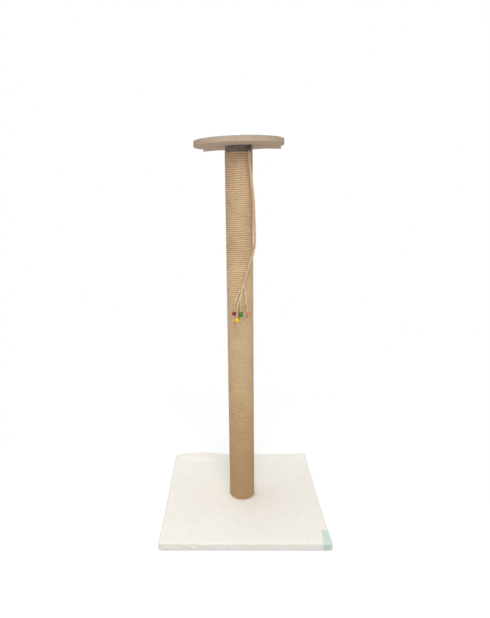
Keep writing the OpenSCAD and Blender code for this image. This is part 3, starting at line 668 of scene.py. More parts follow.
# Base cover: cream short-pile plush, cut 610 mm square, drawn over the board and stapled under it. It is a
# little slack on the left of the front face and along the back edge, its folded corners are a little fuller
# than the rest, and the post presses it down round its foot.
base_side = 500 * MM
plush_t = 2.5 * MM
plush_corner_r = 8.5 * MM
plush_edge_r = 6 * MM
plush_hem_r = 2 * MM
hem_w = 35 * MM
hem_corner_r = 3 * MM
bolt_hole_r = 3.3 * MM
fold_bulk = 3 * MM
back_rise = 4 * MM
foot_ring_r = 49 * MM
foot_ring_w = 7 * MM
foot_ring_rise = 1.3 * MM

# Puffs along the back edge as (place, width, height), and furrows on top as (start, end, width, depth).
BACK_PUFFS = ((-155 * MM, 70 * MM, 6.5 * MM), (245 * MM, 30 * MM, 3 * MM))
CREASES = (
    ((0.042, -0.010), (0.076, 0.004), 5 * MM, -1.5 * MM),
    ((0.043, -0.022), (0.078, -0.008), 6 * MM, 0.9 * MM),
    ((-0.2, -0.238), (-0.16, -0.18), 6 * MM, -0.9 * MM),
)
pile_rise = 0.35 * MM
pile_size = 38 * MM
pucker_rise = 1.5 * MM
pucker_size = 46 * MM
pucker_squeeze = 2.6
pucker_least = 0.35
cover_columns = 720

# Between which distances from the post's axis, in metres, the cover's forms begin or end.
corner_side = (0.2, 0.25)
corner_front = (0.1, 0.25)
pile_end = (0.232, 0.247)
foot_clear = (0.042, 0.05)
back_start = (0.19, 0.235)
back_end = (0.232, 0.252)
puff_end = (0.215, 0.25)
push_start = (0.2, 0.25)
rise_depth = 14 * MM
slack_end = (-0.17, -0.02)
front_start = (0.236, 0.249)
pucker_end = (0.195, 0.22)

cover_low, cover_high = np.array(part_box("base_cover"))
base_top = cover_high[2]


def spaced(way, places, period=None):
    """The points that lie at given lengths along a way, by interpolating between its own points."""
    run = along(way)
    return np.stack([np.interp(places, run, line, period=period and run[-1]) for line in way.T], axis=-1)


def outline(reach, count, turn=0.0):
    """count points evenly spaced round an outline whose distance from the middle is a function of the angle,
    and the outward directions there. The function is read finely, and its points are spaced by length."""
    a = np.linspace(0, 2 * np.pi, 40001)
    fine = np.stack([reach(a) * np.cos(a + turn), reach(a) * np.sin(a + turn)], axis=-1)
    places = np.linspace(0, along(fine)[-1], count, endpoint=False)
    t = unit(spaced(fine, places + 0.05 * MM, period=True) - spaced(fine, places - 0.05 * MM, period=True))
    return spaced(fine, places), np.stack([t[:, 1], -t[:, 0]], axis=-1)


def rounded_square(side, corner_r):
    """Distance from the middle to a rounded square's edge at an angle: to its straight side, or where that
    lies past the side's end, to the far side of the corner's circle."""
    h = side / 2
    k = h - corner_r

    def reach(a):
        c, s = np.abs(np.cos(a)), np.abs(np.sin(a))
        to_side = h / np.maximum(c, s)
        b = k * (c + s)
        to_corner = b + np.sqrt(np.maximum(b**2 - (2 * k**2 - corner_r**2), 0))
        return np.where(to_side * np.minimum(c, s) > k, to_corner, to_side)

    return reach


def row(points, ways, inset, z):
    """A ring of points: the outline drawn in by inset, at a height."""
    flat = points - ways * inset
    return np.column_stack([flat, np.full(len(flat), z)])


def disc(points, r, z):
    """A ring of points on a circle, each in the direction of its point of the outline."""
    return np.column_stack([unit(points) * r, np.full(len(points), z)])


def rows_between(first, last, shares):
    """Rings of points between two rings, at the given shares of the way."""
    return [first + (last - first) * share for share in shares]


def quarter(inset, z, r, start, stop, count, points, ways):
    """Rings round an edge: the points of a circle of radius r, its middle inset from the outline at height
    z, between two angles."""
    a = np.radians(np.linspace(start, stop, count))
    return [row(points, ways, inset - r * math.cos(b), z + r * math.sin(b)) for b in a]


def short_plush(name):
    """Short-pile polyester plush: matt, with a soft sheen, painted sheen where the pile leans, and fine
    tufts.

    The tufts are drawn 1.6 mm apart, coarser than real ones, so that they show.
    """
    material, tree = finish_tree(name)
    spot = put(tree, "TexCoord")
    tufts = put(tree, "TexNoise", {"Vector": spot, "Scale": 1 / (1.6 * MM), "Detail": 2.0, "Roughness": 0.7})
    clumps = put(tree, "TexNoise", {"Vector": spot, "Scale": 1 / (9 * MM), "Detail": 3.0, "Roughness": 0.6})
    sweeps = {"Vector": spot, "Scale": 1 / (60 * MM), "Detail": 3.0, "Distortion": 1.2}
    brushed = put(tree, "TexNoise", sweeps)
    pile = put(tree, "Mix", {0: tufts, 6: "#efeae1", 7: "#fefbf6"}, data_type="RGBA")
    # Painted sheen: patches where the brushed pile leans are duller.
    painted_nap_sheen = put(tree, "MapRange", {"Value": brushed, "From Min": 0.35, "From Max": 0.65, "To Max": 0.38})
    with_painted_nap_sheen = put(tree, "Mix", {0: painted_nap_sheen, 6: pile, 7: "#f3ede3"}, data_type="RGBA")
    # Painted shade: the hollows between the clumps are darker.
    painted_hollow_shade_range = {"Value": clumps, "From Min": 0.35, "From Max": 0.5, "To Min": 0.27, "To Max": 0}
    painted_hollow_shade = put(tree, "MapRange", painted_hollow_shade_range)
    shaded = put(tree, "Mix", {0: painted_hollow_shade, 6: with_painted_nap_sheen, 7: "#e6dfd1"}, data_type="RGBA")
    height = put(tree, "Math", {0: clumps, 1: 1.5, 2: tufts}, operation="MULTIPLY_ADD")
    relief = put(tree, "Bump", {"Height": height, "Distance": 0.9 * MM, "Strength": 0.55})
    rough = put(tree, "MapRange", {"Value": tufts, "To Min": 0.85, "To Max": 1.0})
    look = {
        "Base Color": shaded, "Roughness": rough, "Normal": relief, "IOR": 1.45, "Specular IOR Level": 0.1,
        "Sheen Weight": 0.18, "Sheen Roughness": 0.5, "Sheen Tint": "#fffaf0",
    }
    put(tree, "OutputMaterial", {"Surface": put(tree, "BsdfPrincipled", look)})
    return material


def crease_shape(x, y, start, end, width, depth):
    """A soft furrow between two places: depth times exp(-(off / width)^2), which fades out at its ends."""
    start, end = np.array(start), np.array(end)
    run = np.linalg.norm(end - start)
    way = (end - start) / run
    s = ((x - start[0]) * way[0] + (y - start[1]) * way[1]) / run
    off = (x - start[0]) * way[1] - (y - start[1]) * way[0]
    fade = ease(-0.15, 0.25, s) * (1 - ease(0.7, 1.15, s))
    return depth * np.exp(-((off / width) ** 2)) * fade


def corner_bulk(x, y):
    """How far the folded plush pushes a place sideways at the two front corners."""
    return fold_bulk * np.sign(x) * ease(*corner_side, np.abs(x)) * ease(*corner_front, -y)


def pile_height(x, y):
    """The pile's own unevenness on the top face, which ends before the edges."""
    inward = 1 - ease(*pile_end, np.maximum(np.abs(x), np.abs(y)))
    return pile_rise * waves(x, y, pile_size, 3) * inward


def plush_relief(grid):
    """Puffs the cover up, in place: round the post's foot, at its creases, back edge and front corners."""
    x, y, z = grid[..., 0], grid[..., 1], grid[..., 2]
    far = np.hypot(x, y)
    outer = z > base_top - 0.6 * plush_t
    ring = foot_ring_rise * np.exp(-(((far - foot_ring_r) / foot_ring_w) ** 2))
    crease = sum(crease_shape(x, y, *place) for place in CREASES)
    clear = ease(*foot_clear, far)
    puffs = sum(rise * np.exp(-(((x - at) / wide) ** 2)) for at, wide, rise in BACK_PUFFS)
    puffs = puffs * (1 - ease(*puff_end, -x))
    back = (back_rise * (1 - ease(*back_end, np.abs(x))) + puffs) * ease(*back_start, y)
    high = ease(base_top - rise_depth, base_top, z)
    grid[..., 2] += np.where(outer, (ring + pile_height(x, y) + crease) * clear, 0) + back * high
    grid[..., 1] += puffs * ease(*push_start, y) * high
    grid[..., 0] += corner_bulk(x, y)


edge, edge_way = outline(rounded_square(base_side, plush_corner_r), cover_columns)
hem_edge, _ = outline(rounded_square(base_side - 2 * hem_w, hem_corner_r), cover_columns)
inner_top = base_top - plush_t
cover_foot = cover_low[2]
top_rim = row(edge, edge_way, plush_edge_r, base_top)
top_shares = np.concatenate([np.linspace(0, 0.2, 14), np.linspace(0.2, 1, 66)[1:-1]])
upper_round = quarter(plush_edge_r, base_top - plush_edge_r, plush_edge_r, 90, 0, 9, edge, edge_way)
side_z = np.linspace(base_top - plush_edge_r, cover_foot + plush_hem_r, 12)[1:-1]
side_rows = [row(edge, edge_way, 0, z) for z in side_z]
lower_round = quarter(plush_hem_r, cover_foot + plush_hem_r, plush_hem_r, 0, -90, 5, edge, edge_way)
hem_in = row(edge, edge_way, plush_hem_r, cover_foot)
hem_end = np.column_stack([hem_edge, np.full(cover_columns, cover_foot)])
hem_top = hem_end + (0, 0, plush_t)
inside_low = row(edge, edge_way, plush_t, cover_foot + plush_t)
inside_high = row(edge, edge_way, plush_t, inner_top)
cover_rows = [
    disc(edge, bolt_hole_r, inner_top),
    *rows_between(disc(edge, bolt_hole_r, base_top), top_rim, top_shares),
    *upper_round,
    *side_rows,
    *lower_round,
    *rows_between(hem_in, hem_end, np.linspace(0, 1, 9)[1:]),
    hem_top,
    *rows_between(hem_top, inside_low, np.linspace(0, 1, 4)[1:]),
    *rows_between(inside_low, inside_high, np.linspace(0, 1, 4)[1:]),
    *rows_between(inside_high, disc(edge, bolt_hole_r, inner_top), np.linspace(0, 1, 9)[1:-1]),
]
cover_grid = np.stack(cover_rows)[:, ::-1]
plush_relief(cover_grid)
sides_from = 1 + len(top_shares)
sides_to = sides_from + len(upper_round) + len(side_rows)
front = cover_grid[sides_from:sides_to]
front_slack = 1 - ease(*slack_end, front[..., 0])
on_front = ease(*front_start, -front[..., 1])
pucker = pucker_rise * waves(front[..., 0], pucker_squeeze * front[..., 2], pucker_size, 11)
pucker = pucker * (pucker_least + front_slack)
pucker *= 1 - ease(*pucker_end, front[..., 0])
mid_height = np.sin(np.pi * np.clip((front[..., 2] - cover_foot) / (base_top - cover_foot), 0, 1))
front[..., 1] -= pucker * on_front * mid_height
plush = short_plush("cream_plush")
cover = piece("plush_cover", [shell(cover_grid, round_rows=True)], "stand", plush, crease=70)
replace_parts(cover, "base_cover")

# Label: a blank strip of woven ribbon, laid over the front edge at the right corner, wider at its front end
# than at its back end. Two rows of stitches hold it along its ends.
label_low, label_high = np.array(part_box("side_label"))
label_top_l = label_high[1] + base_side / 2
label_w = label_high[0] - label_low[0]
label_l = label_top_l + plush_edge_r * (np.pi / 2 - 1) + (base_top - plush_edge_r - label_low[2])
label_lift = 0.35 * MM
label_thick = 0.6 * MM
label_taper = 6 * MM
label_curl = 0.25 * MM
label_wave = 0.12 * MM
label_wave_l = 14 * MM
label_rows = 73
label_columns = 31
stitch_pitch = 3 * MM
stitch_l = 0.75 * stitch_pitch
stitch_r = 0.3 * MM
stitch_rise = 0.35 * MM
stitch_margin = 2.5 * MM
stitch_from = 1.5 * MM
stitch_stop = 3 * MM
stitch_sink = 0.1 * MM
stitch_points = 7


def woven_ribbon(name):
    """Woven polyester ribbon, blank: fine crossing threads, drawn 0.8 mm apart so that they show."""
    material, tree = finish_tree(name)
    uv = put(tree, "UVMap", uv_map="UVMap")
    threads = {"Vector": uv, "Scale": math.pi / 10 / (0.8 * MM)}
    warp, weft = (put(tree, "TexWave", threads, bands_direction=way) for way in "XY")
    cross = put(tree, "Math", {0: warp, 1: weft}, operation="MULTIPLY")
    fade = put(tree, "TexNoise", {"Vector": uv, "Scale": 1 / (12 * MM), "Detail": 2.0})
    cloth = put(tree, "Mix", {0: cross, 6: "#bdd4cd", 7: "#dbe8e3"}, data_type="RGBA")
    worn = put(tree, "Mix", {0: fade, 6: cloth, 7: "#cfdfd8"}, data_type="RGBA")
    relief = put(tree, "Bump", {"Height": cross, "Distance": 0.12 * MM, "Strength": 0.5})
    rough = put(tree, "MapRange", {"Value": cross, "To Min": 0.6, "To Max": 0.75})
    look = {"Base Color": worn, "Roughness": rough, "IOR": 1.5, "Normal": relief}
    put(tree, "OutputMaterial", {"Surface": put(tree, "BsdfPrincipled", look)})
    return material


def on_cover(x, y, z):
    """The place on the cover nearest to a place beside it, and the outward direction there.

    The cover's outside lies one edge radius away from a core with sharp upper edges, whose upright corners
    are rounded by the corner's radius less the edge's.
    """
    centre = base_side / 2 - plush_corner_r
    past = np.maximum(np.abs([x, y]) - centre, 0)
    drawn_in = np.minimum(1, (plush_corner_r - plush_edge_r) / np.maximum(np.hypot(*past), 0.01 * MM))
    flat = np.sign([x, y]) * (np.minimum(np.abs([x, y]), centre) + past * drawn_in)
    core = np.stack([*flat, np.minimum(z, base_top - plush_edge_r)], axis=-1)
    out = unit(np.stack([x, y, z], axis=-1) - core)
    place = core + plush_edge_r * out
    place[..., 0] += corner_bulk(place[..., 0], place[..., 1])
    place[..., 2] += pile_height(place[..., 0], place[..., 1])
    return place, out


def over_edge(x, s):
    """A place on the plush, x metres sideways and s metres along it from the label's back end: along the top,
    round the front edge's quarter circle and down the side."""
    flat_l = label_top_l - plush_edge_r
    a = np.clip((s - flat_l) / plush_edge_r, 0, np.pi / 2)
    y = label_high[1] - np.minimum(s, flat_l) - plush_edge_r * np.sin(a)
    past_edge = np.maximum(s - flat_l - plush_edge_r * np.pi / 2, 0)
    z = base_top - plush_edge_r + plush_edge_r * np.cos(a) - past_edge
    return on_cover(x, y, z)


label_x, label_s = np.meshgrid(
    np.linspace(label_low[0], label_high[0], label_columns), np.linspace(0, label_l, label_rows)
)
label_x += label_taper * (1 - label_s / label_l) * (label_high[0] - label_x) / label_w
label_place, label_out = over_edge(label_x, label_s)


def label_skin(lift):
    """The label's face at a height over the plush, with a slight curl up of its long edges and some waves."""
    u = np.linspace(-1, 1, label_columns)
    curl = label_curl * u**6 + label_wave * waves(label_x, label_s, label_wave_l, 5)
    return label_place + label_out * (lift + curl)[..., None]


label_upper = label_lift + label_thick / 2
label_faces = np.concatenate(
    [label_skin(label_upper), label_skin(label_lift - label_thick / 2)[:, ::-1]], axis=1
)
label_uv_step = (label_l / (label_rows - 1), label_w / (label_columns - 1))
label_parts = [shell(label_faces[::-1], ends=True, uv_step=label_uv_step)]
for s_row in (stitch_margin, label_l - stitch_margin):
    left_x = label_low[0] + label_taper * (1 - s_row / label_l)
    for x_from in np.arange(left_x + stitch_from, label_high[0] - stitch_stop, stitch_pitch):
        stitch_x = x_from + np.linspace(0, stitch_l, stitch_points)
        spot, out = over_edge(stitch_x, np.full(stitch_points, s_row))
        rise = np.sin(np.linspace(0, np.pi, stitch_points)) * stitch_rise
        stitch_way = spot + out * (label_upper + rise - stitch_sink)[:, None]
        stitch = rope_part(stitch_way, stitch_r, strands=2, lay=2 * MM, sides=6, groove=0.9, out=out)
        label_parts.append(stitch)
ribbon = woven_ribbon("blank_woven_ribbon")
label = piece("blank_label", label_parts, "stand", ribbon, crease=50)
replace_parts(label, "side_label")

# Lining: thin black non-woven cloth under the base, which hides the hem and stands on the floor. It has a
# hole for the bolt's key, and the staples hold it together with the hem and press it in a little.
liner_low, liner_high = np.array(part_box("base_liner"))
liner_side = liner_high[0] - liner_low[0]
liner_corner_r = 6 * MM
liner_hole_r = 12 * MM
liner_columns = 720
liner_sag = 0.15 * MM
liner_sag_l = 70 * MM
liner_top_inset = 0.2 * MM
staple_row = 226.5 * MM
staples_per_side = 5
press_depth = 0.85 * MM
press_l = 8 * MM
press_w = 3 * MM


def spunbond(name):
    """Black spunbonded polypropylene cloth: matt, with a grid of small pressed dimples about 1.5 mm apart."""
    material, tree = finish_tree(name)
    spot = put(tree, "TexCoord")
    dimples = put(tree, "TexVoronoi", {"Vector": spot, "Scale": 1 / (1.5 * MM), "Randomness": 0.15})
    pressed = put(tree, "MapRange", {"Value": dimples, "From Min": 0.1, "From Max": 0.35})
    mottle = put(tree, "TexNoise", {"Vector": spot, "Scale": 1 / (14 * MM), "Detail": 4.0})
    shade = put(tree, "Mix", {0: mottle, 6: "#1c1c1d", 7: "#323234"}, data_type="RGBA")
    colour = put(tree, "Mix", {0: pressed, 6: "#101011", 7: shade}, data_type="RGBA")
    relief = put(tree, "Bump", {"Height": pressed, "Distance": 0.2 * MM, "Strength": 0.6})
    rough = put(tree, "MapRange", {"Value": mottle, "To Min": 0.65, "To Max": 0.85})
    look = {"Base Color": colour, "Roughness": rough, "IOR": 1.49, "Normal": relief}
    put(tree, "OutputMaterial", {"Surface": put(tree, "BsdfPrincipled", look)})
    return material


liner_edge, liner_way = outline(rounded_square(liner_side, liner_corner_r), liner_columns)
press_insets = np.array([24, 19, 16.5, 14.5, 13, 12, 11, 10, 8.5, 6, 3, 1, 0]) * MM
press_rows = [row(liner_edge, liner_way, 0, 0) * (1 - 2 * inset / liner_side) for inset in press_insets]
hole_row = disc(liner_edge, liner_hole_r, 0)
liner_low_rows = [*rows_between(hole_row, press_rows[0], np.linspace(0, 1, 16)[:-1]), *press_rows]
liner_top_row = row(liner_edge, liner_way, liner_top_inset, liner_high[2])
liner_top_rows = rows_between(liner_top_row, hole_row + (0, 0, liner_high[2]), np.linspace(0, 1, 12))
liner_grid = np.stack(liner_low_rows + liner_top_rows)
under = liner_grid[: len(liner_low_rows)]
staple_places = 2 * staple_row * ((np.arange(staples_per_side) + 0.5) / staples_per_side - 0.5)
for along_side, across_side in ((under[..., 0], under[..., 1]), (under[..., 1], under[..., 0])):
    near = sum(np.exp(-(((along_side - at) / press_l) ** 4)) for at in staple_places)
    under[..., 2] += press_depth * near * np.exp(-(((np.abs(across_side) - staple_row) / press_w) ** 4))
slack_here = np.maximum(1 + waves(under[..., 0], under[..., 1], liner_sag_l, 8), 0)
under[..., 2] += liner_sag * slack_here * (1 - under[..., 2] / press_depth)
liner_shell = shell(liner_grid, round_rows=True)
liner = piece("spunbond_lining", [liner_shell], "stand", spunbond("black_spunbond"), crease=40)
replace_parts(liner, "base_liner")

# Base board, fixings, plugs and tube: raw 18 mm fibreboard, zinc-plated bolts and staples, turned pine plugs
# and a spiral-wound card tube. They keep their CAD shapes, and most of them are out of sight.


def dress(material, *nodes):
    """Gives CAD nodes a finish: the material goes into every slot of their objects."""
    for name in nodes:
        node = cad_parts[name]
        if not node.material_slots:
            node.data.materials.append(material)
        for slot in node.material_slots:
            slot.material = material


def fibreboard(name, pale, deep, dark):
    """Raw medium-density fibreboard: matt felted fibres, mottled, with dark flecks of under a millimetre."""
    material, tree = finish_tree(name)
    spot = put(tree, "TexCoord")
    layers = put(tree, "Mapping", {"Vector": spot, "Scale": (1, 1, 3.5)})
    felting = {"Vector": layers, "Scale": 1 / (1.1 * MM), "Detail": 3.0, "Roughness": 0.65}
    fibres = put(tree, "TexNoise", felting)
    mottle = put(tree, "TexNoise", {"Vector": spot, "Scale": 1 / (22 * MM), "Detail": 3.0})
    flecks = put(tree, "TexNoise", {"Vector": layers, "Scale": 1 / (0.9 * MM), "Detail": 1.0})
    colour = put(tree, "Mix", {0: mottle, 6: pale, 7: deep}, data_type="RGBA")
    for noise, low, high, most, tint in ((fibres, 0.45, 0.75, 0.5, deep), (flecks, 0.66, 0.74, 0.6, dark)):
        share = put(tree, "MapRange", {"Value": noise, "From Min": low, "From Max": high, "To Max": most})
        colour = put(tree, "Mix", {0: share, 6: colour, 7: tint}, data_type="RGBA")
    relief = put(tree, "Bump", {"Height": fibres, "Distance": 0.25 * MM, "Strength": 0.5})
    rough = put(tree, "MapRange", {"Value": fibres, "To Min": 0.7, "To Max": 0.9})
    look = {
        "Base Color": colour, "Roughness": rough, "Normal": relief, "IOR": 1.45, "Specular IOR Level": 0.3,
    }
    put(tree, "OutputMaterial", {"Surface": put(tree, "BsdfPrincipled", look)})
    return material


def zinc_plate(name, code, rough):
    """Zinc-plated steel: grey metal with a cloudy dull gloss and fine drawing marks about 0.6 mm apart."""
    material, tree = finish_tree(name)
    spot = put(tree, "TexCoord")
    clouds = put(tree, "TexNoise", {"Vector": spot, "Scale": 1 / (4 * MM), "Detail": 3.0})
    marks = put(tree, "TexNoise", {"Vector": spot, "Scale": 1 / (0.6 * MM), "Detail": 2.0})
    tone = linear(code)
    dull = tuple(c * 0.72 for c in tone[:3]) + (1,)
    colour = put(tree, "Mix", {0: clouds, 6: tone, 7: dull}, data_type="RGBA")
    relief = put(tree, "Bump", {"Height": marks, "Distance": 0.05 * MM, "Strength": 0.4})
    cloudy = put(tree, "MapRange", {"Value": clouds, "To Min": rough - 0.12, "To Max": rough + 0.12})
    look = {"Base Color": colour, "Metallic": 1.0, "Roughness": cloudy, "Normal": relief}
    put(tree, "OutputMaterial", {"Surface": put(tree, "BsdfPrincipled", look)})
    return material


def turned_pine(name):
    """Turned pine plug, raw: pale wood with rings about 3 mm apart, darker on the late wood."""
    material, tree = finish_tree(name)
    heart = {"Vector": put(tree, "TexCoord"), "Location": (0.05, 0.01, 0), "Scale": (1, 1, 0.08)}
    log = put(tree, "Mapping", heart)
    growth = {"Vector": log, "Scale": math.pi / 10 / (3 * MM), "Distortion": 2.5, "Detail": 3.0}
    rings = put(tree, "TexWave", growth, wave_type="RINGS", rings_direction="Z")
    colour = put(tree, "Mix", {0: rings, 6: "#c9a470", 7: "#e0c493"}, data_type="RGBA")
    relief = put(tree, "Bump", {"Height": rings, "Distance": 0.1 * MM, "Strength": 0.4})
    look = {"Base Color": colour, "Roughness": 0.7, "IOR": 1.5, "Normal": relief}
    put(tree, "OutputMaterial", {"Surface": put(tree, "BsdfPrincipled", look)})
    return material


def wound_card(name):
    """Spiral-wound grey-brown card: matt paper with soft fibres, and a slanting seam every 90 mm."""
    material, tree = finish_tree(name)
    spot = put(tree, "TexCoord")
    leaned = put(tree, "Mapping", {"Vector": spot, "Rotation": (0.5, 0, 0)})
    seams = put(tree, "TexWave", {"Vector": leaned, "Scale": math.pi / 10 / (90 * MM)}, bands_direction="Z")
    seam = put(tree, "MapRange", {"Value": seams, "From Min": 0.94, "From Max": 1.0})
    paper = put(tree, "TexNoise", {"Vector": spot, "Scale": 1 / (1.5 * MM), "Detail": 4.0})
    card = put(tree, "Mix", {0: paper, 6: "#97795a", 7: "#b3967a"}, data_type="RGBA")
    colour = put(tree, "Mix", {0: seam, 6: card, 7: "#6d5540"}, data_type="RGBA")
    relief = put(tree, "Bump", {"Height": paper, "Distance": 0.1 * MM, "Strength": 0.4})
    look = {"Base Color": colour, "Roughness": 0.85, "IOR": 1.45, "Normal": relief}
    put(tree, "OutputMaterial", {"Surface": put(tree, "BsdfPrincipled", look)})
    return material


base_fibreboard = fibreboard("base_fibreboard", "#b19b80", "#9a8267", "#6d5741")
zinc = zinc_plate("zinc_plated_steel", "#b9bcbe", 0.38)
staple_zinc = zinc_plate("staple_zinc_wire", "#c2c4c4", 0.3)
pine = turned_pine("turned_pine")
dress(base_fibreboard, "base_board")
dress(zinc, "base_bolt", "base_washer", "bottom_tee_nut", "top_tee_nut", "platform_bolt", "platform_washer")
dress(staple_zinc, "base_staples", "bottom_plug_nails", "top_plug_nails", "rope_end_staples")
dress(pine, "bottom_plug", "top_plug")
dress(wound_card("spiral_wound_card"), "post_tube")

# Rope: natural three-strand jute, 6 mm thick, wound on the tube in 182 touching turns. A staple presses each
# straight end down. It is rough: fibres stand off it. Its colour is browner towards the floor, and lighter
# just under the platform, a painted light against the platform's shade. The first and last turns lie level
# and step up just before they close, between the shares step_from and step_to of a turn.
rope_d = 6 * MM
rope_lay = 19.5 * MM
rope_turns = 182
rope_rings = 120
rope_room = 0.05 * MM
rope_tall = 1.1
level_turns = 20
step_from = 0.84
step_to = 0.97
end_points = 3
staple_w = 2.4 * MM
staple_press = 0.17
settle_l = 40 * MM
wander_up = 0.7 * MM
wander_out = 0.22 * MM
swell_share = 0.03
# The pale colour at heights in metres: browner towards the floor, and lighter again at the top stop, a
# painted light against the shade under the platform.
jute_heights_with_painted_light = [
    (0, "#ccaa7e"), (0.16, "#cfae84"), (0.3, "#e2c297"), (0.52, "#efd2aa"), (0.8, "#f5d8ae"),
    (0.95, "#eecfa7"), (1.12, "#f5d5b0"),
]
end_fray_count = 60
end_turns = 13
middle_pieces = 3
fibre_count = 2600
fibre_d = 0.22 * MM
fibre_depth = 0.6 * MM
fibre_rise = (0.05, 0.22)
fibre_tilt = 0.35
fibre_lengths = (3, 9)
fibre_bend = 1.3 * MM
fibre_return = 0.6 * MM
end_fray_d = 0.35 * MM
end_fray_room = 1.7
end_fray_spread = 0.2
end_fray_bend = 0.8 * MM
end_fray_lengths = (2, 6)
tube_r = np.array(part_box("post_tube"))[1, 0]
cap_low, cap_high = np.array(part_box("top_cap"))
wound_r = tube_r + rope_d / 2
first_z = base_top + rope_d / 2 + rope_room
last_z = cap_low[2] - rope_d / 2 - rope_room


def stair(turns):
    """Whole turns that lie level and step up to the next one just before they close."""
    return np.floor(turns) + ease(step_from, step_to, turns % 1)


wind = np.linspace(0, 2 * np.pi * rope_turns, rope_turns * rope_rings + 1)
climb = (last_z - first_z) / wind[-1]
turn_low = wind / (2 * np.pi)
turn_high = rope_turns - turn_low
level_low = (1 - ease(0, level_turns, turn_low)) * (stair(turn_low) - turn_low)
level_high = (1 - ease(0, level_turns, turn_high)) * (stair(turn_high) - turn_high)
rope_z = first_z + climb * 2 * np.pi * (turn_low + level_low - level_high)

# The turns wander a little, by waves over the winding's face that also lean with the height, and settle
# towards both ends.
settled = ease(0, settle_l, rope_z - first_z) * ease(0, settle_l, last_z - rope_z)
lean_x = wound_r * np.cos(wind) + 2.3 * rope_z
lean_y = wound_r * np.sin(wind) - 1.9 * rope_z
rope_z = rope_z + wander_up * settled * waves(lean_x, lean_y, 190 * MM, 21)
rope_r = wound_r + wander_out * settled * waves(lean_x * 3, lean_y * 3, 150 * MM, 22)
helix = np.stack([rope_r * np.cos(wind), rope_r * np.sin(wind), rope_z], axis=-1)
helix_out = np.stack([np.cos(wind), np.sin(wind), 0 * wind], axis=-1)
end_y = np.linspace(rope_d, 0, end_points + 1)[:-1]
first_end = np.array([(wound_r, -y, first_z) for y in end_y])
last_end = np.array([(wound_r, y, last_z) for y in end_y[::-1]])
end_out = np.tile((1.0, 0, 0), (end_points, 1))
rope_way = np.vstack([first_end, helix, last_end])
rope_out = np.vstack([end_out, helix_out, end_out])
rope_run = along(rope_way)
pressed = sum(np.exp(-(((rope_run - at) / staple_w) ** 4)) for at in (rope_d / 2, rope_run[-1] - rope_d / 2))
swell = 1 + swell_share * waves(rope_run, 0 * rope_run, 55 * MM, 23)
rope_radius = rope_d / 2 * swell * (1 - staple_press * pressed)
rope_form = {"strands": 3, "lay": rope_lay, "sides": 12, "groove": 0.8, "tall": rope_tall}
rope_grid = laid_rope(rope_way, rope_radius, out=rope_out, run=rope_run, **rope_form)
jute = twisted_fibre(
    "three_strand_jute", "#cbaa83", "#b8956a", 3, rope_lay, rope_d, 0.4 * MM, "#6f5233", heights=jute_heights_with_painted_light
)
middle_cuts = np.linspace(end_turns, rope_turns - end_turns, middle_pieces + 1).round()
cuts = [0, *(end_points + rope_rings * middle_cuts).astype(int), len(rope_way) - 1]
rope_names = ["rope_bottom"] + [f"rope_middle_{i + 1}" for i in range(middle_pieces)] + ["rope_top"]
rope_nodes = ["rope_bottom_turns"] + ["rope_middle"] * middle_pieces + ["rope_top_turns"]
ring_step = rope_run[-1] / (len(rope_way) - 1)
for name, node, start, stop in zip(rope_names, rope_nodes, cuts, cuts[1:]):
    uv_step = (ring_step, 1 / rope_grid.shape[1])
    points, faces = shell(rope_grid[start : stop + 1], ends=True, uv_step=uv_step)
    faces = [(f, places + (start * ring_step, 0)) for f, places in faces]
    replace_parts(piece(name, [(points, faces)], "stand", jute, crease=60), node)

fibre_a = random.uniform(0, 2 * np.pi, fibre_count)
fibre_z = random.uniform(first_z, last_z, fibre_count)
fibre_out = np.stack([np.cos(fibre_a), np.sin(fibre_a), 0 * fibre_a], axis=-1)
fibre_along = np.stack([-np.sin(fibre_a), np.cos(fibre_a), 0 * fibre_a], axis=-1)
fibre_roots = fibre_out * (tube_r + rope_d - fibre_depth) + fibre_z[:, None] * (0, 0, 1)
fibre_way = unit(
    fibre_along * random.choice([-1, 1], fibre_count)[:, None]
    + fibre_out * random.uniform(*fibre_rise, fibre_count)[:, None]
    + random.normal(0, fibre_tilt, fibre_count)[:, None] * (0, 0, 1)
)
fibre_l = random.uniform(*fibre_lengths, fibre_count) * MM
fibre_sag = random.normal(0, fibre_bend, (fibre_count, 3)) - fibre_out * fibre_return
fray_side = np.repeat([-1, 1], end_fray_count // 2)
fray_roots = np.where(fray_side[:, None] < 0, first_end[0], last_end[-1])
fray_roots = fray_roots - fray_side[:, None] * (0, 0.5 * MM, 0)
fray_roots = fray_roots + random.uniform(-end_fray_room, end_fray_room, (end_fray_count, 3)) * (MM, 0, MM)
fray_way = unit(fray_side[:, None] * (0, 1, 0) + random.normal(0, end_fray_spread, (end_fray_count, 3)))
fray_sag = random.normal(0, end_fray_bend, (end_fray_count, 3)) * (1, 1, 0.3)
fray_l = random.uniform(*end_fray_lengths, end_fray_count) * MM
frayed_ends = hairs(fray_roots, fray_way, fray_sag, fray_l, end_fray_d)
fibres = hairs(fibre_roots, fibre_way, fibre_sag, fibre_l, fibre_d)
piece("rope_loose_fibres", [fibres, frayed_ends], "stand", jute)

# Top cap: a dark grey cap of moulded plastic on the tube's upper end, as wide as the rope, with two shallow
# grooves round its wall. The platform stands on it.
cap_r = (cap_high[0] - cap_low[0]) / 2
cap_bore_r = tube_r + 0.2 * MM
cap_plate_t = 3 * MM
cap_lip_r = 1.2 * MM
groove_depth = 0.7 * MM
groove_w = 0.8 * MM
groove_z = (4.5 * MM, 12.5 * MM)


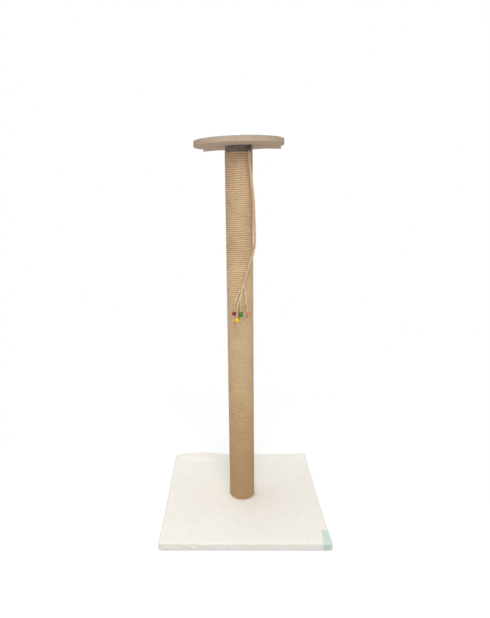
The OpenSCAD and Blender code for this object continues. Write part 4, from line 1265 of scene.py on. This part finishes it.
def moulded_polypropylene(name, pale, deep):
    """Moulded polypropylene, dark grey: a satin face with a spark-eroded grain and a little dust on it.

    The grain is drawn 0.8 mm apart, coarser than a real one, so that it shows.
    """
    material, tree = finish_tree(name)
    spot = put(tree, "TexCoord")
    grain = put(tree, "TexNoise", {"Vector": spot, "Scale": 1 / (0.8 * MM), "Detail": 2.0})
    dust = put(tree, "TexNoise", {"Vector": spot, "Scale": 1 / (18 * MM), "Detail": 5.0})
    share = put(tree, "MapRange", {"Value": dust, "From Min": 0.35, "From Max": 0.7})
    colour = put(tree, "Mix", {0: share, 6: deep, 7: pale}, data_type="RGBA")
    relief = put(tree, "Bump", {"Height": grain, "Distance": 0.12 * MM, "Strength": 0.5})
    rough = put(tree, "MapRange", {"Value": grain, "To Min": 0.5, "To Max": 0.68})
    look = {"Base Color": colour, "Roughness": rough, "IOR": 1.49, "Normal": relief}
    put(tree, "OutputMaterial", {"Surface": put(tree, "BsdfPrincipled", look)})
    return material


lip_low, lip_high = cap_low[2] + cap_lip_r, cap_high[2] - cap_lip_r
wall_z = np.linspace(lip_low, lip_high, 41)
wall_dip = sum(groove_depth * np.exp(-(((wall_z - cap_low[2] - z) / groove_w) ** 4)) for z in groove_z)
lip_a = np.linspace(0, np.pi / 2, 6)
lip_sin, lip_cos = cap_lip_r * np.sin(lip_a), cap_lip_r * np.cos(lip_a)
cap_profile = np.vstack(
    [
        [(cap_bore_r, cap_low[2]), (cap_bore_r + 1 * MM, cap_low[2])],
        np.stack([cap_r - cap_lip_r + lip_sin, lip_low - lip_cos], axis=-1),
        np.stack([cap_r - wall_dip, wall_z], axis=-1)[1:-1],
        np.stack([cap_r - cap_lip_r + lip_cos, lip_high + lip_sin], axis=-1),
        [(r, cap_high[2]) for r in (30 * MM, 15 * MM, bolt_hole_r)],
        [(bolt_hole_r, cap_high[2] - cap_plate_t), (cap_bore_r, cap_high[2] - cap_plate_t)],
    ]
)
cap_part = turned(cap_profile, np.zeros(3), (0, 0, 1), 160, closed=True)
dark_plastic = moulded_polypropylene("dark_moulded_polypropylene", "#96877f", "#6e615b")
cap = piece("moulded_cap", [cap_part], "stand", dark_plastic, crease=45)
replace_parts(cap, "top_cap")

# Platform board: 14 mm fibreboard sawn to a disc with two ears at its back, left raw, with its arrises
# sanded. A counterbore from above takes the bolt that clamps it on the cap.
platform_r = 130 * MM
platform_turn = math.radians(-6)
ear_tip = np.array([118, 130]) * MM
ear_tip_r = 4 * MM
ear_inner = math.radians(27)
ear_outer = math.radians(82)
arris_r = 1.1 * MM
bore_r = 6.3 * MM
bore_depth = 7.6 * MM
board_low, board_high = np.array(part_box("platform_board"))
platform_columns = 900


def eared_disc(a):
    """Distance from the platform's middle to its edge at an angle: its circle, or an ear that reaches out.

    An ear lies inside two lines and its tip is a circle's arc. A line whose nearest point lies at distance d
    and angle n is d / cos(a - n) away. Between the lines' touching points it is the tip circle's far side.
    """
    reach = np.full_like(a, platform_r)
    for b in (a % (2 * np.pi), (np.pi - a) % (2 * np.pi)):
        b = np.where(b > np.pi, b - 2 * np.pi, b)
        lines = []
        touches = []
        for n in (ear_inner + np.pi / 2, ear_outer - np.pi / 2):
            normal = np.array([np.cos(n), np.sin(n)])
            touch = ear_tip + ear_tip_r * normal
            touches.append(math.atan2(touch[1], touch[0]))
            away = np.cos(b - n)
            lines.append(np.where(away > 0.05, (ear_tip @ normal + ear_tip_r) / np.maximum(away, 0.05), 0))
        beside = ear_tip[0] * np.sin(b) - ear_tip[1] * np.cos(b)
        ahead = ear_tip[0] * np.cos(b) + ear_tip[1] * np.sin(b)
        tip = ahead + np.sqrt(np.maximum(ear_tip_r**2 - beside**2, 0))
        at_tip = (b > min(touches)) & (b < max(touches))
        between_feet = (b > ear_outer - np.pi / 2) & (b < ear_inner + np.pi / 2)
        ear = np.where(at_tip, tip, np.minimum(*lines))
        reach = np.where(between_feet, np.maximum(reach, ear), reach)
    return reach


rim, rim_way = outline(eared_disc, platform_columns, platform_turn)
lower_arris = quarter(arris_r, board_low[2] + arris_r, arris_r, -90, 0, 5, rim, rim_way)
upper_arris = quarter(arris_r, board_high[2] - arris_r, arris_r, 0, 90, 5, rim, rim_way)
wall_z = np.linspace(board_low[2] + arris_r, board_high[2] - arris_r, 8)[1:-1]
wall = [row(rim, rim_way, 0, z) for z in wall_z]
bore_z = board_high[2] - bore_depth
board_rows = [
    *rows_between(disc(rim, bolt_hole_r, board_low[2]), lower_arris[0], np.linspace(0, 1, 26)[:-1]),
    *lower_arris,
    *wall,
    *upper_arris,
    *rows_between(upper_arris[-1], disc(rim, bore_r, board_high[2]), np.linspace(0, 1, 14)[1:]),
    disc(rim, bore_r, bore_z),
    disc(rim, bolt_hole_r, bore_z),
]
raw_board = fibreboard("raw_fibreboard", "#cdb8a1", "#b8a188", "#8a725c")
board_shell = shell(np.stack(board_rows), round_rows=True)
board = piece("sawn_platform_board", [board_shell], "stand", raw_board, crease=35)
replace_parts(board, "platform_board")

# Platform felt: 2 mm grey melange felt, needled from pale and dark fibres, cut a little inside the board's
# edge and glued on top. It has a hole over the bolt.
felt_trim = 0.5 * MM
felt_edge_r = 0.8 * MM
felt_hole_edge = 0.6 * MM
felt_rise = 0.16 * MM
felt_low, felt_high = np.array(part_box("platform_felt"))


def melange_felt(name):
    """Needled melange felt: matt, mixed from light, grey and a few dark fibres that lie every way.

    Fibres are drawn at 0.9 mm, coarser than real ones, so that they show. Three noises, each drawn out along
    a direction of its own, lie over each other.
    """
    material, tree = finish_tree(name)
    spot = put(tree, "TexCoord")
    lays = []
    for angle, shift in ((0.4, 0), (1.9, 3), (2.9, 7)):
        way = {"Vector": spot, "Rotation": (0, 0, angle), "Location": (shift, 0, 0), "Scale": (0.22, 1, 1)}
        drawn = put(tree, "Mapping", way)
        fibres = {"Vector": drawn, "Scale": 1 / (0.9 * MM), "Detail": 2.0, "Distortion": 0.6}
        lays.append(put(tree, "TexNoise", fibres))
    colour = "#aca69e"
    shares = ((0.46, 0.64, 1, "#c0bab3"), (0.5, 0.62, 0.7, "#9a938b"), (0.6, 0.68, 0.75, "#756f68"))
    for lay, (low, high, most, tint) in zip(lays, shares):
        share = put(tree, "MapRange", {"Value": lay, "From Min": low, "From Max": high, "To Max": most})
        colour = put(tree, "Mix", {0: share, 6: colour, 7: tint}, data_type="RGBA")
    heap = put(tree, "Math", {0: lays[0], 1: lays[1]}, operation="ADD")
    relief = put(tree, "Bump", {"Height": heap, "Distance": 0.3 * MM, "Strength": 0.6})
    rough = put(tree, "MapRange", {"Value": lays[2], "To Min": 0.85, "To Max": 1.0})
    look = {
        "Base Color": colour, "Roughness": rough, "Normal": relief, "IOR": 1.45, "Specular IOR Level": 0.15,
        "Sheen Weight": 0.1,
    }
    put(tree, "OutputMaterial", {"Surface": put(tree, "BsdfPrincipled", look)})
    return material


felt_z = felt_high[2] - felt_edge_r
felt_rounding = quarter(felt_edge_r + felt_trim, felt_z, felt_edge_r, 0, 90, 5, rim, rim_way)
felt_foot = row(rim, rim_way, felt_trim, felt_low[2])
felt_hole_top = disc(rim, bore_r + felt_hole_edge, felt_high[2])
felt_grid = np.stack(
    [
        *rows_between(disc(rim, bore_r, felt_low[2]), felt_foot, np.linspace(0, 1, 12)),
        *felt_rounding,
        *rows_between(felt_rounding[-1], felt_hole_top, np.linspace(0, 1, 44)[1:]),
        disc(rim, bore_r, felt_high[2] - felt_hole_edge),
    ]
)
felt_top = felt_grid[..., 2] > felt_z
uneven = felt_rise * (waves(felt_grid[..., 0], felt_grid[..., 1], 17 * MM, 31) - 1)
felt_grid[..., 2] += np.where(felt_top, uneven, 0)
felt_shell = shell(felt_grid, round_rows=True)
felt = piece("melange_felt_top", [felt_shell], "stand", melange_felt("melange_felt"), crease=60)
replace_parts(felt, "platform_felt")

# Screw eye and hanging ring: dark steel wire, whose maroon colour is partly its finish and partly painted
# shade from the shadow under the platform. The eye is screwed up into the board in front of the cap, and the
# toy's ring hangs in it.
steel_wire_with_painted_shade = zinc_plate("dark_steel_wire_with_painted_shade", "#5a3136", 0.42)
dress(steel_wire_with_painted_shade, "screw_eye", "hanging_ring")
